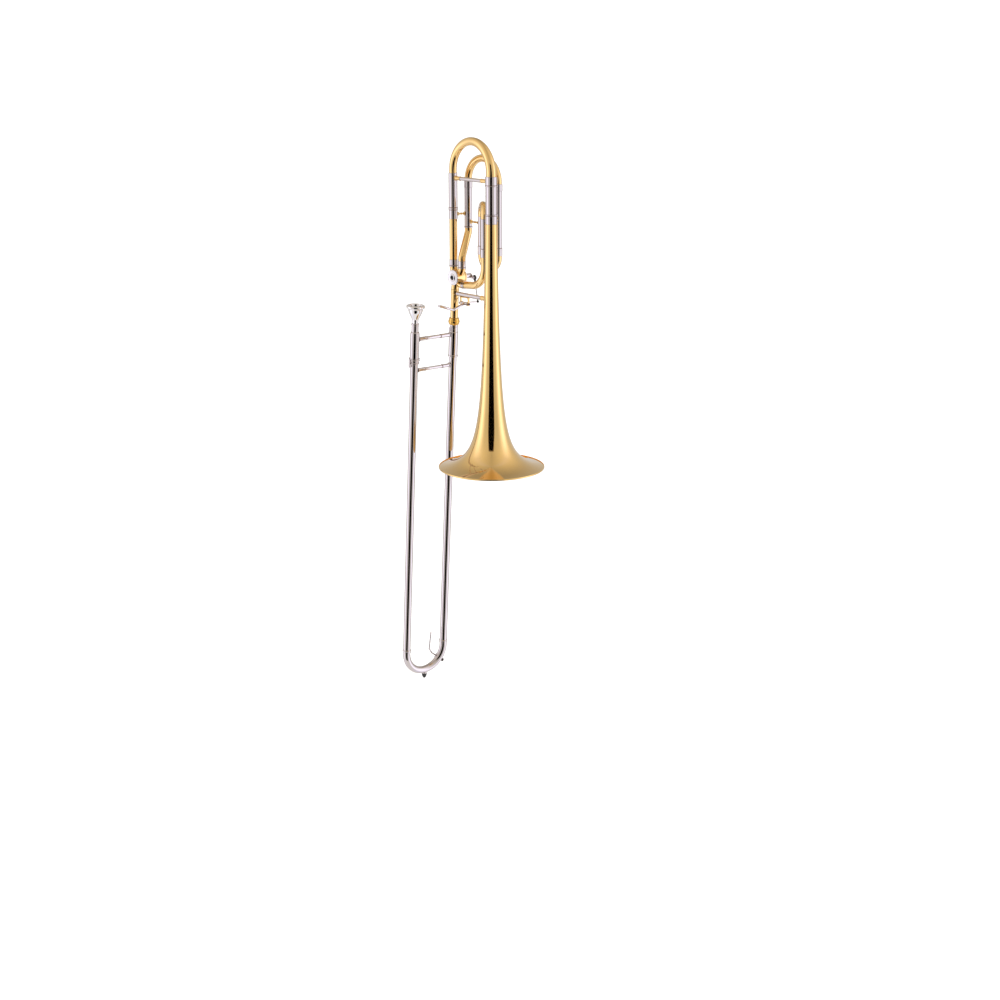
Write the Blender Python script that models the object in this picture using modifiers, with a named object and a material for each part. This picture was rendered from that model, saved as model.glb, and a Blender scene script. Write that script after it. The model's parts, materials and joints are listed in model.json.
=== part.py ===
"""Tenor trombone with an F attachment, standing on its bell mouth, modelled in metres with +Z up.

The origin is the centre of the bell's rim plane and the bell's axis is +Z. The neck pipe runs
parallel to the bell at -X, the F tubing lies behind it at +Y, and the hand slide hangs from the
neck towards -Z, with its mouthpiece tube offset to -Y.
"""

import math

import bmesh
import bpy
from mathutils import Euler, Matrix, Vector

# Driving dimensions.
GAP = 0.0003  # left between neighbouring pieces
WALL = 0.0006  # of the ordinary tubing
SIDES = 12  # facets round a tube

BELL_RADIUS = 0.108
BELL_THROAT = 0.0125  # how quickly the flare closes
BELL_POWER = 0.6
BELL_TOP = 0.490
BELL_WALL = 0.0008
BELL_BEAD = 0.002  # radius of the rolled rim
BELL_RINGS = 14
BELL_SIDES = 28

NECK_X = -0.118  # axis of the upper neck pipe
NECK_RADIUS = 0.008
BELL_STEM_RADIUS = 0.0103  # of the tuning slide's larger leg
MAIN_BOW_Z = 0.5815
MAIN_FERRULE_Z = 0.562
MAIN_SLEEVE_Z = 0.509
NECK_FERRULE_TOP = 0.511
MAIN_BRACE_Z = 0.5714

F_RADIUS = 0.0075
F_SLEEVE = 0.0079
F_FERRULE = 0.0085
F_INNER = 0.0069
F_LEG_A = Vector((-0.108, 0.031, 0))
F_LEG_B = Vector((-0.0155, 0.031, 0))
F_BOW_Z = 0.5645
F_SLEEVE_TOP = 0.551
F_SLEEVE_A_Z = 0.4715
F_SLEEVE_B_Z = 0.4385
SMALL_FAR = Vector((-0.066, 0.031, 0))
SMALL_NEAR = Vector((-0.0264, 0.005, 0))
SMALL_BOW_Z = 0.4975
SMALL_SLEEVE_Z = 0.4383
SMALL_FERRULE_Z = 0.422

VALVE = Vector((-0.1085, 0.0032, 0.3740))  # centre of the rotor
CASING_RADIUS = 0.0142
CASING_HALF = 0.0115
ROTOR_RADIUS = 0.0118
STEM_RADIUS = 0.0028
PORT_TOP = 0.395
F_PORT = Vector((-0.0985, 0.0060, 0.3920))
ARM_BALL = Vector((-0.0990, 0.0393, 0.3706))
ARM_LEVEL = ARM_BALL.y - 0.0044  # middle of the stop arm
ARM_HALF = 0.0008
RETURN_END = Vector((-0.0863, 0.0060, 0.3600))
LEVER_BALL = Vector((-0.0889, 0.0390, 0.3228))
HINGE = Vector((-0.083, 0, 0.3236))
HINGE_HALF = 0.010
BRACE_Z = 0.341
BRACE_RADIUS = 0.004

SLIDE_TOP = Vector((-0.1183, 0, 0.2833))  # middle of the bell lock nut
SLIDE_TURN = Euler((0, math.radians(3.8), math.radians(-1)))  # the slide leans away from the bell
SLIDE_SPACING = 0.0988
INNER_RADIUS = 0.0071
OUTER_RADIUS = 0.0080
INNER_END = 0.700
OUTER_START = 0.040
OUTER_END = 0.716
END_BOW_L = 0.722
HAND_BRACE_L = 0.0275
OUTER_BRACE_L = 0.0915
BARREL_RADIUS = 0.0094

FINISHES = {
    "lacquered_brass": ((0.83, 0.60, 0.22), 1.0, 0.16),
    "nickel_silver": ((0.78, 0.76, 0.76), 1.0, 0.18),
    "silver_plate": ((0.86, 0.86, 0.87), 1.0, 0.12),
    "steel": ((0.45, 0.45, 0.47), 1.0, 0.28),
    "black_plastic": ((0.02, 0.02, 0.022), 0.0, 0.35),
    "rubber": ((0.03, 0.03, 0.03), 0.0, 0.70),
    "cork": ((0.12, 0.08, 0.05), 0.0, 0.85),
}


def clear_scene():
    """Remove what the startup file holds, and make the two collections."""
    for old in list(bpy.data.objects):
        bpy.data.objects.remove(old, do_unlink=True)
    made = []
    for name in ("trombone", "cutters"):
        collection = bpy.data.collections.new(name)
        bpy.context.scene.collection.children.link(collection)
        made.append(collection)
    made[1].hide_render = True
    return made


PARTS, CUTTERS = clear_scene()


def finish_named(name):
    """The material of this finish, made the first time it is asked for."""
    found = bpy.data.materials.get(name)
    if found:
        return found
    colour, metallic, roughness = FINISHES[name]
    made = bpy.data.materials.new(name)
    made.use_nodes = True
    shader = made.node_tree.nodes["Principled BSDF"]
    shader.inputs["Base Color"].default_value = (*colour, 1)
    shader.inputs["Metallic"].default_value = metallic
    shader.inputs["Roughness"].default_value = roughness
    return made


def put(name, data, finish, parent=None):
    """Link an object that holds this data, as a part, or as a cutter when it has no finish."""
    made = bpy.data.objects.new(name, data)
    if finish:
        PARTS.objects.link(made)
        data.materials.append(finish_named(finish))
    else:
        CUTTERS.objects.link(made)
        made.hide_render = True
        made.display_type = "WIRE"
    made.parent = parent
    return made


def axis_empty(name, location, rotation=(0, 0, 0), parent=None):
    """An empty on a joint's axis, which the pieces of that body hang from."""
    made = bpy.data.objects.new(name, None)
    PARTS.objects.link(made)
    made.location = location
    made.rotation_euler = rotation
    made.empty_display_size = 0.02
    made.parent = parent
    bpy.context.view_layer.update()
    return made


def carry(pieces, axis):
    """Hang pieces that were placed in the world from the empty on their joint's axis."""
    for piece in pieces:
        piece.parent = axis
        piece.matrix_parent_inverse = axis.matrix_world.inverted()


def turned(name, outline, finish, at=(0, 0, 0), along=(0, 0, 1), parent=None, sides=SIDES):
    """An outline of (radius, height) points, down its outer side first, turned about an axis.

    It closes on itself, or on the axis when it starts and ends there.
    """
    mesh = bpy.data.meshes.new(name)
    count = len(outline)
    solid = outline[0][0] == 0
    edges = [(i, (i + 1) % count) for i in range(count - solid)]
    mesh.from_pydata([(radius, 0, height) for radius, height in outline], edges, [])
    made = put(name, mesh, finish, parent)
    made.location = at
    made.rotation_euler = Vector(along).to_track_quat("Z", "Y").to_euler()
    screw = made.modifiers.new("Turn", "SCREW")
    screw.axis = "Z"
    screw.steps = screw.render_steps = sides
    screw.use_smooth_shade = True
    screw.use_merge_vertices = solid
    screw.merge_threshold = 1e-5
    return made


def tube(name, start, end, outer, inner, finish, parent=None, collar=None):
    """A straight tube between two points, with an optional collar (radius, low, high) round it."""
    start, end = Vector(start), Vector(end)
    length = (end - start).length
    outside = [(outer, length), (outer, 0)]
    if collar:
        edge, low, high = collar
        outside[1:1] = [(outer, high), (edge, high), (edge, low), (outer, low)]
        outside = list(dict.fromkeys(outside))
        if high == length:
            outside.pop(0)
        if low == 0:
            outside.pop()
    return turned(name, outside + [(inner, 0), (inner, length)], finish, start, end - start, parent)


def upright(name, place, low, high, outer, inner, finish, collar=None):
    """A vertical tube over a place in plan, with an optional collar (radius, low height, high height)."""
    base = Vector((place[0], place[1], low))
    if collar:
        collar = (collar[0], max(collar[1] - low, 0), min(collar[2] - low, high - low))
    return tube(name, base, base + Vector((0, 0, high - low)), outer, inner, finish, collar=collar)


def rod(name, start, end, radius, finish, flange=0.0, foot=0.002, parent=None, sides=12):
    """A solid brace between two points, with a flange at each end when it has one."""
    start, end = Vector(start), Vector(end)
    length = (end - start).length
    outline = [(0, length), (radius, length), (radius, 0), (0, 0)]
    if flange:
        outline[1:3] = [(flange, length), (flange, length - foot), (radius, length - 1.5 * foot),
                        (radius, 1.5 * foot), (flange, foot), (flange, 0)]
    return turned(name, outline, finish, start, end - start, parent, sides)


def arc(centre, across, up, radius, first, last, count):
    """Points on an arc whose angle 0 points along across and 90 along up, in degrees."""
    angles = [math.radians(first + (last - first) * i / count) for i in range(count + 1)]
    across, up = Vector(across).normalized(), Vector(up).normalized()
    return [centre + radius * (math.cos(a) * across + math.sin(a) * up) for a in angles]


def bow(first, last, ahead, foot=0.0010, count=12):
    """A half circle from one tube's end to another's, with a short straight foot on each."""
    first, last, ahead = Vector(first), Vector(last), Vector(ahead)
    centre = (first + last) / 2 + ahead * foot
    across = first - last
    return [first, *arc(centre, across, ahead, across.length / 2, 0, 180, count), last]


def route(corners, bend, steps=6, share=0.49):
    """Points along straight runs whose corners are rounded to this bend radius.

    A bend takes up no more than this share of the run on either side.
    """
    corners = [Vector(corner) for corner in corners]
    points = [corners[0]]
    for before, corner, after in zip(corners, corners[1:], corners[2:]):
        back, ahead = (before - corner).normalized(), (after - corner).normalized()
        half = back.angle(ahead) / 2
        room = share * min((before - corner).length, (after - corner).length)
        reach = min(bend / math.tan(half), room)
        radius = reach * math.tan(half)
        centre = corner + (back + ahead).normalized() * radius / math.sin(half)
        first = corner + back * reach - centre
        last = corner + ahead * reach - centre
        turn = first.rotation_difference(last)
        axis, angle = turn.to_axis_angle()
        points += [centre + Matrix.Rotation(angle * i / steps, 3, axis) @ first for i in range(steps + 1)]
    return points + [corners[-1]]


def bent(name, points, radii, finish, parent=None, sides=SIDES, caps=False):
    """A round curve through these points: one radius for all, or one for each."""
    curve = bpy.data.curves.new(name, "CURVE")
    curve.dimensions = "3D"
    curve.bevel_depth = 1
    curve.bevel_resolution = (sides - 4) // 2
    curve.use_fill_caps = caps
    spline = curve.splines.new("POLY")
    spline.points.add(len(points) - 1)
    radii = radii if isinstance(radii, list) else [radii] * len(points)
    for point, place, radius in zip(spline.points, points, radii):
        point.co = (*place, 1)
        point.radius = radius
    return put(name, curve, finish, parent)


def bent_tube(name, points, radii, finish, parent=None, wall=WALL, sides=SIDES):
    """A bent tube, open at both ends."""
    made = bent(name, points, radii, finish, parent, sides)
    shell = made.modifiers.new("Wall", "SOLIDIFY")
    shell.thickness = wall
    shell.offset = -1
    return made


def solid_mesh(curve):
    """The same shape as a mesh with its caps welded on, for a Boolean. The curve is removed."""
    bpy.context.view_layer.update()
    graph = bpy.context.evaluated_depsgraph_get()
    mesh = bpy.data.meshes.new_from_object(curve.evaluated_get(graph))
    name, parent, place, wired = curve.name, curve.parent, curve.matrix_world.copy(), curve.hide_render
    owner = curve.users_collection[0]
    bpy.data.objects.remove(curve, do_unlink=True)
    shape = bmesh.new()
    shape.from_mesh(mesh)
    bmesh.ops.remove_doubles(shape, verts=shape.verts, dist=1e-6)
    bmesh.ops.recalc_face_normals(shape, faces=shape.faces)
    shape.to_mesh(mesh)
    shape.free()
    made = bpy.data.objects.new(name, mesh)
    owner.objects.link(made)
    made.parent = parent
    made.matrix_world = place
    made.hide_render = wired
    made.display_type = "WIRE" if wired else "TEXTURED"
    return made


def bar(name, start, end, radius, finish=None, parent=None, sides=12):
    """A plain solid cylinder between two points, as a mesh."""
    return solid_mesh(bent(name, [Vector(start), Vector(end)], radius, finish, parent, sides, caps=True))


def plate(name, size, at, finish=None, turn=(0, 0, 0), bevel=0.0005, parent=None):
    """A box with softened edges."""
    bpy.ops.mesh.primitive_cube_add(size=1, location=at, rotation=turn)
    made = bpy.context.object
    made.name = made.data.name = name
    made.data.transform(Matrix.Diagonal((*size, 1)))
    for owner in list(made.users_collection):
        owner.objects.unlink(made)
    (PARTS if finish else CUTTERS).objects.link(made)
    if finish:
        made.data.materials.append(finish_named(finish))
    made.hide_render = not finish
    made.display_type = "TEXTURED" if finish else "WIRE"
    made.parent = parent
    if bevel:
        edge = made.modifiers.new("Edge", "BEVEL")
        edge.width = bevel
        edge.segments = 1
    return made


def combine(target, others, operation):
    """Join or cut the target with each of these cutters."""
    for other in others:
        boolean = target.modifiers.new(operation.title(), "BOOLEAN")
        boolean.operation = operation
        boolean.object = other
    return target


def bell_radius(z):
    """Outer radius of the bell at this height above its rim."""
    return BELL_RADIUS * (BELL_THROAT / (z + BELL_THROAT)) ** BELL_POWER


def build_bell():
    """The flared bell with its rolled rim."""
    heights = [BELL_TOP * (1 - i / BELL_RINGS) ** 2.4 for i in range(BELL_RINGS)]
    outer = [(bell_radius(z), z) for z in heights]
    inner = []
    for radius, z in outer:
        slope = (bell_radius(z + 1e-4) - bell_radius(z)) / 1e-4
        scale = BELL_WALL / math.hypot(1, slope)
        inner.append((radius - scale, z + slope * scale))
    middle = BELL_RADIUS - BELL_BEAD
    turns = [math.radians(angle) for angle in (40, 0, -45, -90, -135)]
    bead = [(middle + BELL_BEAD * math.cos(a), BELL_BEAD * math.sin(a)) for a in turns]
    top_inner = (inner[0][0], BELL_TOP)
    turned("bell", outer + bead + inner[:0:-1] + [top_inner], "lacquered_brass", sides=BELL_SIDES)


def build_main_tubing():
    """The fixed tubing from the bell's stem and the neck down to the valve."""
    neck = (NECK_X, 0)
    stem = (0, 0)
    upright("bell_ferrule", stem, BELL_TOP + GAP, MAIN_SLEEVE_Z - GAP, 0.0125, 0.0108, "nickel_silver")
    upright("main_sleeve", stem, MAIN_SLEEVE_Z, MAIN_FERRULE_Z, 0.0113, 0.0106, "nickel_silver")
    upright("neck_inner_leg", neck, 0.4910, 0.5750, 0.0079, 0.0074, "nickel_silver")
    upright("neck_upper_ferrule", neck, 0.4906, NECK_FERRULE_TOP - GAP, 0.0095, 0.0083, "nickel_silver")
    upright("neck_pipe", neck, 0.4093, 0.4903, NECK_RADIUS, NECK_RADIUS - WALL, "lacquered_brass")
    upright("neck_lower_ferrule", neck, PORT_TOP + GAP, 0.4090, 0.0090, 0.0074, "nickel_silver")


def build_main_slide():
    """The main tuning slide: the large tapering bow with one inner leg and one sleeve."""
    points = bow((NECK_X, 0, MAIN_BOW_Z), (0, 0, MAIN_BOW_Z), (0, 0, 1), 0.0062, 14)
    last = len(points) - 1
    shares = [2 * i / last for i in range(last + 1)]
    widths = [0.0076 + 0.0006 * min(share, 1) + 0.0021 * max(0, share - 1) for share in shares]
    bend = bent_tube("main_bow", points, widths, "lacquered_brass", wall=0.0007)
    top = MAIN_BOW_Z - GAP
    sleeve_edge = NECK_X + 0.0089 + 2 * GAP
    ferrule_edge = -0.0123 - 2 * GAP
    pieces = [
        bend,
        upright("main_bow_ferrule", (0, 0), MAIN_FERRULE_Z + GAP, top, 0.0123, 0.0106, "nickel_silver"),
        upright("main_inner_leg", (0, 0), 0.5150, top, BELL_STEM_RADIUS, 0.0096, "nickel_silver"),
        upright("main_bow_sleeve", (NECK_X, 0), NECK_FERRULE_TOP, top, 0.0089, 0.0083, "nickel_silver",
                (0.0095, NECK_FERRULE_TOP, NECK_FERRULE_TOP + 0.0015)),
        rod("main_brace", (sleeve_edge, 0, MAIN_BRACE_Z), (ferrule_edge, 0, MAIN_BRACE_Z), 0.0035,
            "nickel_silver", 0.0060, 0.0040),
    ]
    carry(pieces, axis_empty("main_tuning_slide_axis", (0, 0, MAIN_BOW_Z)))


def build_f_tubing():
    """The fixed tubing of the F attachment, from the valve round to the valve again."""
    top = F_SLEEVE_TOP
    inside = F_RADIUS - WALL
    upright("f_port_ferrule", F_PORT, F_PORT.z + GAP, 0.4070, 0.0082, inside, "nickel_silver")
    entry = [(F_PORT.x, F_PORT.y, 0.4073), (F_PORT.x, F_PORT.y, 0.4145), (F_LEG_A.x, F_LEG_A.y, 0.4640),
             (F_LEG_A.x, F_LEG_A.y, F_SLEEVE_A_Z - GAP)]
    bent_tube("f_entry_tube", route(entry, 0.026), F_RADIUS, "lacquered_brass")
    upright("f_sleeve_a", F_LEG_A, F_SLEEVE_A_Z, top, F_SLEEVE, 0.0072, "nickel_silver",
            (F_FERRULE, F_SLEEVE_A_Z, F_SLEEVE_A_Z + 0.0020))
    upright("f_sleeve_b", F_LEG_B, 0.4240, top, F_SLEEVE, 0.0072, "nickel_silver",
            (F_FERRULE, 0.4240, F_SLEEVE_B_Z))
    low = SMALL_FERRULE_Z - GAP
    crook = bow(F_LEG_B + Vector((0, 0, low)), SMALL_FAR + Vector((0, 0, low)), (0, 0, -1))
    crook[0] = F_LEG_B + Vector((0, 0, 0.4237))
    bent_tube("f_crook", crook, F_RADIUS, "lacquered_brass")
    for label, leg in (("far", SMALL_FAR), ("near", SMALL_NEAR)):
        upright(f"small_sleeve_{label}", leg, SMALL_FERRULE_Z, SMALL_BOW_Z - GAP, F_SLEEVE, 0.0072,
                "nickel_silver", (F_FERRULE, SMALL_FERRULE_Z, SMALL_SLEEVE_Z))
    start = SMALL_NEAR + Vector((0, 0, low))
    corner = SMALL_NEAR + Vector((0, 0, 0.3645))
    end = RETURN_END
    bent_tube("return_tube", route([start, corner, end], 0.040, 12, 0.9), F_RADIUS, "lacquered_brass")
    ahead = (end - corner).normalized()
    tube("return_ferrule", end + ahead * 0.0088, end + ahead * GAP, 0.0082, inside, "nickel_silver")
    return end + ahead * 0.0091, ahead


def build_f_slides():
    """The long F tuning slide and the short one beside it."""
    rise = Vector((0, 0, F_BOW_Z))
    pieces = [bent_tube("f_bow", bow(F_LEG_A + rise, F_LEG_B + rise, (0, 0, 1)), F_RADIUS, "lacquered_brass")]
    for label, leg, low in (("a", F_LEG_A, 0.4760), ("b", F_LEG_B, 0.4440)):
        top = F_BOW_Z - GAP
        pieces.append(upright(f"f_inner_leg_{label}", leg, low, top, F_INNER, 0.0064, "nickel_silver",
                              (0.0086, F_SLEEVE_TOP + GAP, top)))
    carry(pieces, axis_empty("f_tuning_slide_axis", F_LEG_A + rise))

    rise = Vector((0, 0, SMALL_BOW_Z))
    pieces = [bent_tube("small_bow", bow(SMALL_FAR + rise, SMALL_NEAR + rise, (0, 0, 1), count=10), F_RADIUS,
                        "lacquered_brass")]
    for label, leg in (("far", SMALL_FAR), ("near", SMALL_NEAR)):
        pieces.append(upright(f"small_inner_leg_{label}", leg, 0.4430, SMALL_BOW_Z - GAP, F_INNER, 0.0064,
                              "nickel_silver"))
    carry(pieces, axis_empty("small_tuning_slide_axis", SMALL_FAR + rise))


def build_braces():
    """The short stays between the F tubing and the main tubing."""
    stays = (
        ("neck_stay", Vector((NECK_X, 0, 0.5000)), 0.0095, F_LEG_A, F_SLEEVE, 0.5000),
        ("f_stay", F_LEG_A, F_SLEEVE, SMALL_FAR, F_SLEEVE, 0.4840),
        ("bell_stay", Vector((0, 0, 0)), 0.0125, F_LEG_B, F_SLEEVE, 0.4990),
    )
    for name, first, first_radius, last, last_radius, height in stays:
        start = Vector((first.x, first.y, height))
        end = Vector((last.x, last.y, height))
        ahead = (end - start).normalized()
        start += ahead * (first_radius + 3 * GAP)
        end -= ahead * (last_radius + 3 * GAP)
        rod(name, start, end, 0.0022, "lacquered_brass", 0.0040, 0.0012)


def in_slide_frame(point):
    """World place of a point in the hand slide's frame."""
    return SLIDE_TOP + SLIDE_TURN.to_matrix() @ Vector(point)


def build_valve(return_end, return_ahead):
    """The rotary valve's casing with its four ports, its cap and its bearing plate."""
    bore = ROTOR_RADIUS + GAP
    neck_top = Vector((NECK_X, 0, PORT_TOP))
    neck_low = in_slide_frame((0, 0, 0.0665))
    neck_lean = in_slide_frame((0, 0, 0.0805))
    ports = {
        "main_top": (neck_top, neck_top - Vector((0, 0, 0.0160)), NECK_RADIUS),
        "main_low": (neck_low, neck_lean, NECK_RADIUS),
        "f_top": (F_PORT, F_PORT - Vector((0, 0, 0.0130)), F_RADIUS),
        "f_low": (return_end, return_end + return_ahead * 0.0085, F_RADIUS),
    }
    half = Vector((0, CASING_HALF, 0))
    casing = bar("valve_casing", VALVE - half, VALVE + half, CASING_RADIUS, "lacquered_brass", sides=24)
    knuckles, bores = [], []
    for label, (mouth, root, radius) in ports.items():
        past = mouth + (mouth - root).normalized() * 0.004
        knuckles.append(bar(f"knuckle_{label}", mouth, root, radius, sides=SIDES))
        short = root + (mouth - root).normalized() * 0.001
        bores.append(bar(f"bore_{label}", past, short, radius - 0.0010, sides=SIDES))
    rotor_bore = bar("rotor_bore", VALVE - half * 1.2, VALVE + half * 1.2, bore, sides=24)
    combine(casing, knuckles, "UNION")
    combine(casing, [rotor_bore, *bores], "DIFFERENCE")

    front = VALVE - half - Vector((0, GAP, 0))
    cap = [(0.0125, 0.0028), (0.0150, 0.0026), (0.0154, 0.0016), (0.0154, 0), (0.0020, 0), (0.0020, 0.0038),
           (0.0050, 0.0038), (0.0060, 0.0028)]
    turned("valve_cap", cap, "nickel_silver", front, (0, -1, 0), sides=24)
    back = VALVE + half + Vector((0, GAP, 0))
    hole = STEM_RADIUS + GAP
    boss = ARM_LEVEL - ARM_HALF - 2 * GAP - back.y
    seat = [(hole, boss), (0.0050, boss), (0.0050, 0.0070), (0.0068, 0.0060), (0.0072, 0.0018),
            (0.0138, 0.0016), (0.0138, 0), (hole, 0)]
    turned("bearing_plate", seat, "nickel_silver", back, (0, 1, 0), sides=24)


def flat_ring(centre, radius, first, last):
    """Points every 30 degrees round a flat centre, from the first angle to the last."""
    turns = [math.radians(angle) for angle in range(first, last + 1, 30)]
    return [centre + Vector((math.cos(a), math.sin(a))) * radius for a in turns]


def build_rotor():
    """The rotor with its two passages, its stop arm and the screw that holds the arm."""
    front = VALVE.y - CASING_HALF + 0.0010
    reach = VALVE.y + CASING_HALF - 0.0010 - front
    stem = ARM_LEVEL + 0.0012 - front
    outline = [(STEM_RADIUS, stem), (STEM_RADIUS, reach), (ROTOR_RADIUS, reach), (ROTOR_RADIUS, 0),
               (0.0010, 0), (0.0010, stem)]
    rotor = turned("rotor", outline, "nickel_silver", (VALVE.x, front, VALVE.z), (0, 1, 0), sides=24)
    passages = []
    for label, side in (("main", -1), ("f", 1)):
        middle = VALVE + Vector((0.0092 * side, 0, 0))
        rise = Vector((0, 0, 0.020))
        passages.append(bar(f"passage_{label}", middle - rise, middle + rise, 0.0062))
    combine(rotor, passages, "DIFFERENCE")

    arm = bpy.data.curves.new("stop_arm", "CURVE")
    arm.dimensions = "2D"
    arm.fill_mode = "BOTH"
    arm.extrude = ARM_HALF
    aim = Vector((ARM_BALL.x - VALVE.x, ARM_BALL.z - VALVE.z))
    angle = math.atan2(aim.y, aim.x)
    near, far = Vector((0, 0)), Vector((aim.length, 0))
    outline = flat_ring(near, 0.0055, 60, 300) + flat_ring(far, 0.0032, -60, 60)
    hole = flat_ring(near, STEM_RADIUS + GAP, 0, 330)
    for loop in (outline, hole):
        spline = arm.splines.new("POLY")
        spline.points.add(len(loop) - 1)
        spline.use_cyclic_u = True
        for point, place in zip(spline.points, loop):
            point.co = (*place, 0, 1)
    stop_arm = put("stop_arm", arm, "nickel_silver")
    stop_arm.matrix_world = (
        Matrix.Translation((VALVE.x, ARM_LEVEL, VALVE.z))
        @ Matrix.Rotation(-angle, 4, "Y")
        @ Matrix.Rotation(math.pi / 2, 4, "X")
    )
    foot = Vector((VALVE.x, ARM_LEVEL + 0.0018, VALVE.z))
    screw = rod("stop_arm_screw", foot, foot + Vector((0, 0.0022, 0)), 0.0042, "steel", foot=0.0005)
    carry([rotor, stop_arm, screw], axis_empty("rotor_axis", VALVE))


def build_linkage():
    """The link rod with a ball socket at each end."""
    ahead = (LEVER_BALL - ARM_BALL).normalized()
    half = 0.0045
    link = rod("link_rod", ARM_BALL - ahead * half, LEVER_BALL + ahead * half, 0.0012, "black_plastic",
               0.0032, 2 * half)
    carry([link], axis_empty("link_axis", ARM_BALL))


def build_bell_brace():
    """The long brace between neck and bell, and the saddle on it that holds the lever's pin."""
    neck_edge = in_slide_frame((0, 0, BRACE_Z - SLIDE_TOP.z)).x + NECK_RADIUS + 2 * GAP
    bell_edge = -bell_radius(BRACE_Z - 0.009) - 2 * GAP
    rod("bell_brace", (neck_edge, 0, BRACE_Z), (bell_edge, 0, BRACE_Z), BRACE_RADIUS, "nickel_silver",
        0.0065, 0.0030)
    outer = HINGE_HALF + 0.0040
    centre = Vector((HINGE.x, 0, BRACE_Z))
    span = Vector((outer, 0, 0))
    saddle = bar("lever_saddle", centre - span, centre + span, 0.0062, "lacquered_brass", sides=16)
    posts = []
    for label, side in (("neck", -1), ("bell", 1)):
        x = HINGE.x + side * (HINGE_HALF + 0.0020)
        drop = BRACE_Z - HINGE.z + 0.0040
        posts.append(plate(f"post_{label}", (0.0026, 0.0080, drop), (x, 0, BRACE_Z - drop / 2), bevel=0))
    reach = Vector((outer + 0.004, 0, 0))
    cuts = [bar("brace_bore", centre - reach, centre + reach, BRACE_RADIUS + GAP),
            bar("pin_bore", HINGE - reach, HINGE + reach, 0.0018)]
    combine(saddle, posts, "UNION")
    combine(saddle, cuts, "DIFFERENCE")
    ends = Vector((outer + 0.0006, 0, 0))
    rod("lever_pin", HINGE - ends, HINGE + ends, 0.0015, "steel", foot=0.001)


def build_lever():
    """The thumb lever: a hinge barrel with a back arm to the link and a front arm with its paddle."""
    half = Vector((HINGE_HALF, 0, 0))
    lever = bar("thumb_lever", HINGE - half, HINGE + half, 0.0040, "nickel_silver")
    back_end = LEVER_BALL - Vector((0, 0.0037, 0))
    back = bar("lever_back_arm", (LEVER_BALL.x, 0, HINGE.z), back_end, 0.0022)
    elbow = Vector((HINGE.x, -0.0300, 0.3136))
    tip = Vector((HINGE.x, -0.0660, 0.3250))
    front = bar("lever_front_arm", HINGE, elbow + Vector((0, -0.0040, 0.0013)), 0.0024)
    rise = tip - elbow
    pad = plate("lever_paddle", (0.0130, rise.length, 0.0030), (elbow + tip) / 2, bevel=0,
                turn=(math.atan2(rise.z, rise.y) + math.pi, 0, 0))
    reach = Vector((HINGE_HALF + 0.004, 0, 0))
    bore = bar("lever_bore", HINGE - reach, HINGE + reach, 0.0018)
    combine(lever, [back, front, pad], "UNION")
    combine(lever, [bore], "DIFFERENCE")
    carry([lever], axis_empty("thumb_lever_axis", HINGE))


def slide_tube(name, axis, side, start, end, outer, inner, finish, collar=None):
    """A tube along the hand slide between two distances below its top, with an optional collar."""
    y = -side * SLIDE_SPACING
    if collar:
        collar = (collar[0], end - collar[2], end - collar[1])
    return tube(name, (0, y, -end), (0, y, -start), outer, inner, finish, axis, collar)


def barrel(name, axis, side, start, end, mouth):
    """A cork barrel: a narrow mouth at the top, a roomy bore for the outer slide, a bead below."""
    length = end - start
    edge = BARREL_RADIUS + 0.0010
    outline = [(BARREL_RADIUS - 0.0008, length), (BARREL_RADIUS, length - 0.002), (BARREL_RADIUS, 0.0040),
               (edge, 0.0032), (edge, 0.0008), (BARREL_RADIUS, 0), (0.0086, 0), (0.0086, length - 0.004),
               (mouth, length - 0.003), (mouth, length)]
    return turned(name, outline, "nickel_silver", (0, -side * SLIDE_SPACING, -end), parent=axis)


def build_neck_end(frame):
    """The leaning lower neck pipe, and the lock nut that clamps the slide to it."""
    tube("neck_receiver", (0, 0, GAP / 2), (0, 0, 0.0662), NECK_RADIUS, 0.0070, "lacquered_brass", frame)
    outline = [(0.0100, 0.0070), (0.0114, 0.0055), (0.0114, -0.0055), (0.0100, -0.0070), (0.0091, -0.0070),
               (0.0091, 0.0070)]
    axis = axis_empty("lock_nut_axis", SLIDE_TOP, SLIDE_TURN)
    turned("lock_nut", outline, "lacquered_brass", parent=axis, sides=24)


def build_inner_slide(axis):
    """The inner slide: tenon, two long inner tubes, cork barrels, brace and slide lock."""
    slide_tube("inner_tube_bell_side", axis, 0, GAP, INNER_END, INNER_RADIUS, 0.0062, "nickel_silver",
               (0.0086, GAP, 0.0110))
    slide_tube("inner_tube_mouth_side", axis, 1, -0.0060, INNER_END, INNER_RADIUS, 0.0062, "nickel_silver")
    barrel("barrel_bell_side", axis, 0, 0.0113, 0.0744, 0.0075)
    barrel("barrel_mouth_side", axis, 1, 0.0114, 0.0776, 0.0075)
    edge = BARREL_RADIUS + 2 * GAP
    rod("hand_brace", (0, -edge, -HAND_BRACE_L), (0, edge - SLIDE_SPACING, -HAND_BRACE_L), 0.0040,
        "nickel_silver", 0.0052, 0.0018, axis)
    lug = BARREL_RADIUS + 0.0012 + GAP
    plate("barrel_lug", (0.0030, 0.0018, 0.0096), (0, -lug, -0.0165), "nickel_silver", parent=axis)

    lock_axis = axis_empty("slide_lock_axis", (0, -SLIDE_SPACING, -0.0680), parent=axis)
    bore = BARREL_RADIUS + GAP
    band = [(0.0112, 0.0025), (0.0112, -0.0025), (bore, -0.0025), (bore, 0.0025)]
    ring = turned("slide_lock", band, "nickel_silver", parent=lock_axis, sides=24)
    tab = plate("lock_tab", (0.0050, 0.0022, 0.0180), (0, -0.0119, -0.0070), bevel=0, parent=lock_axis)
    combine(ring, [tab], "UNION")


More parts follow.
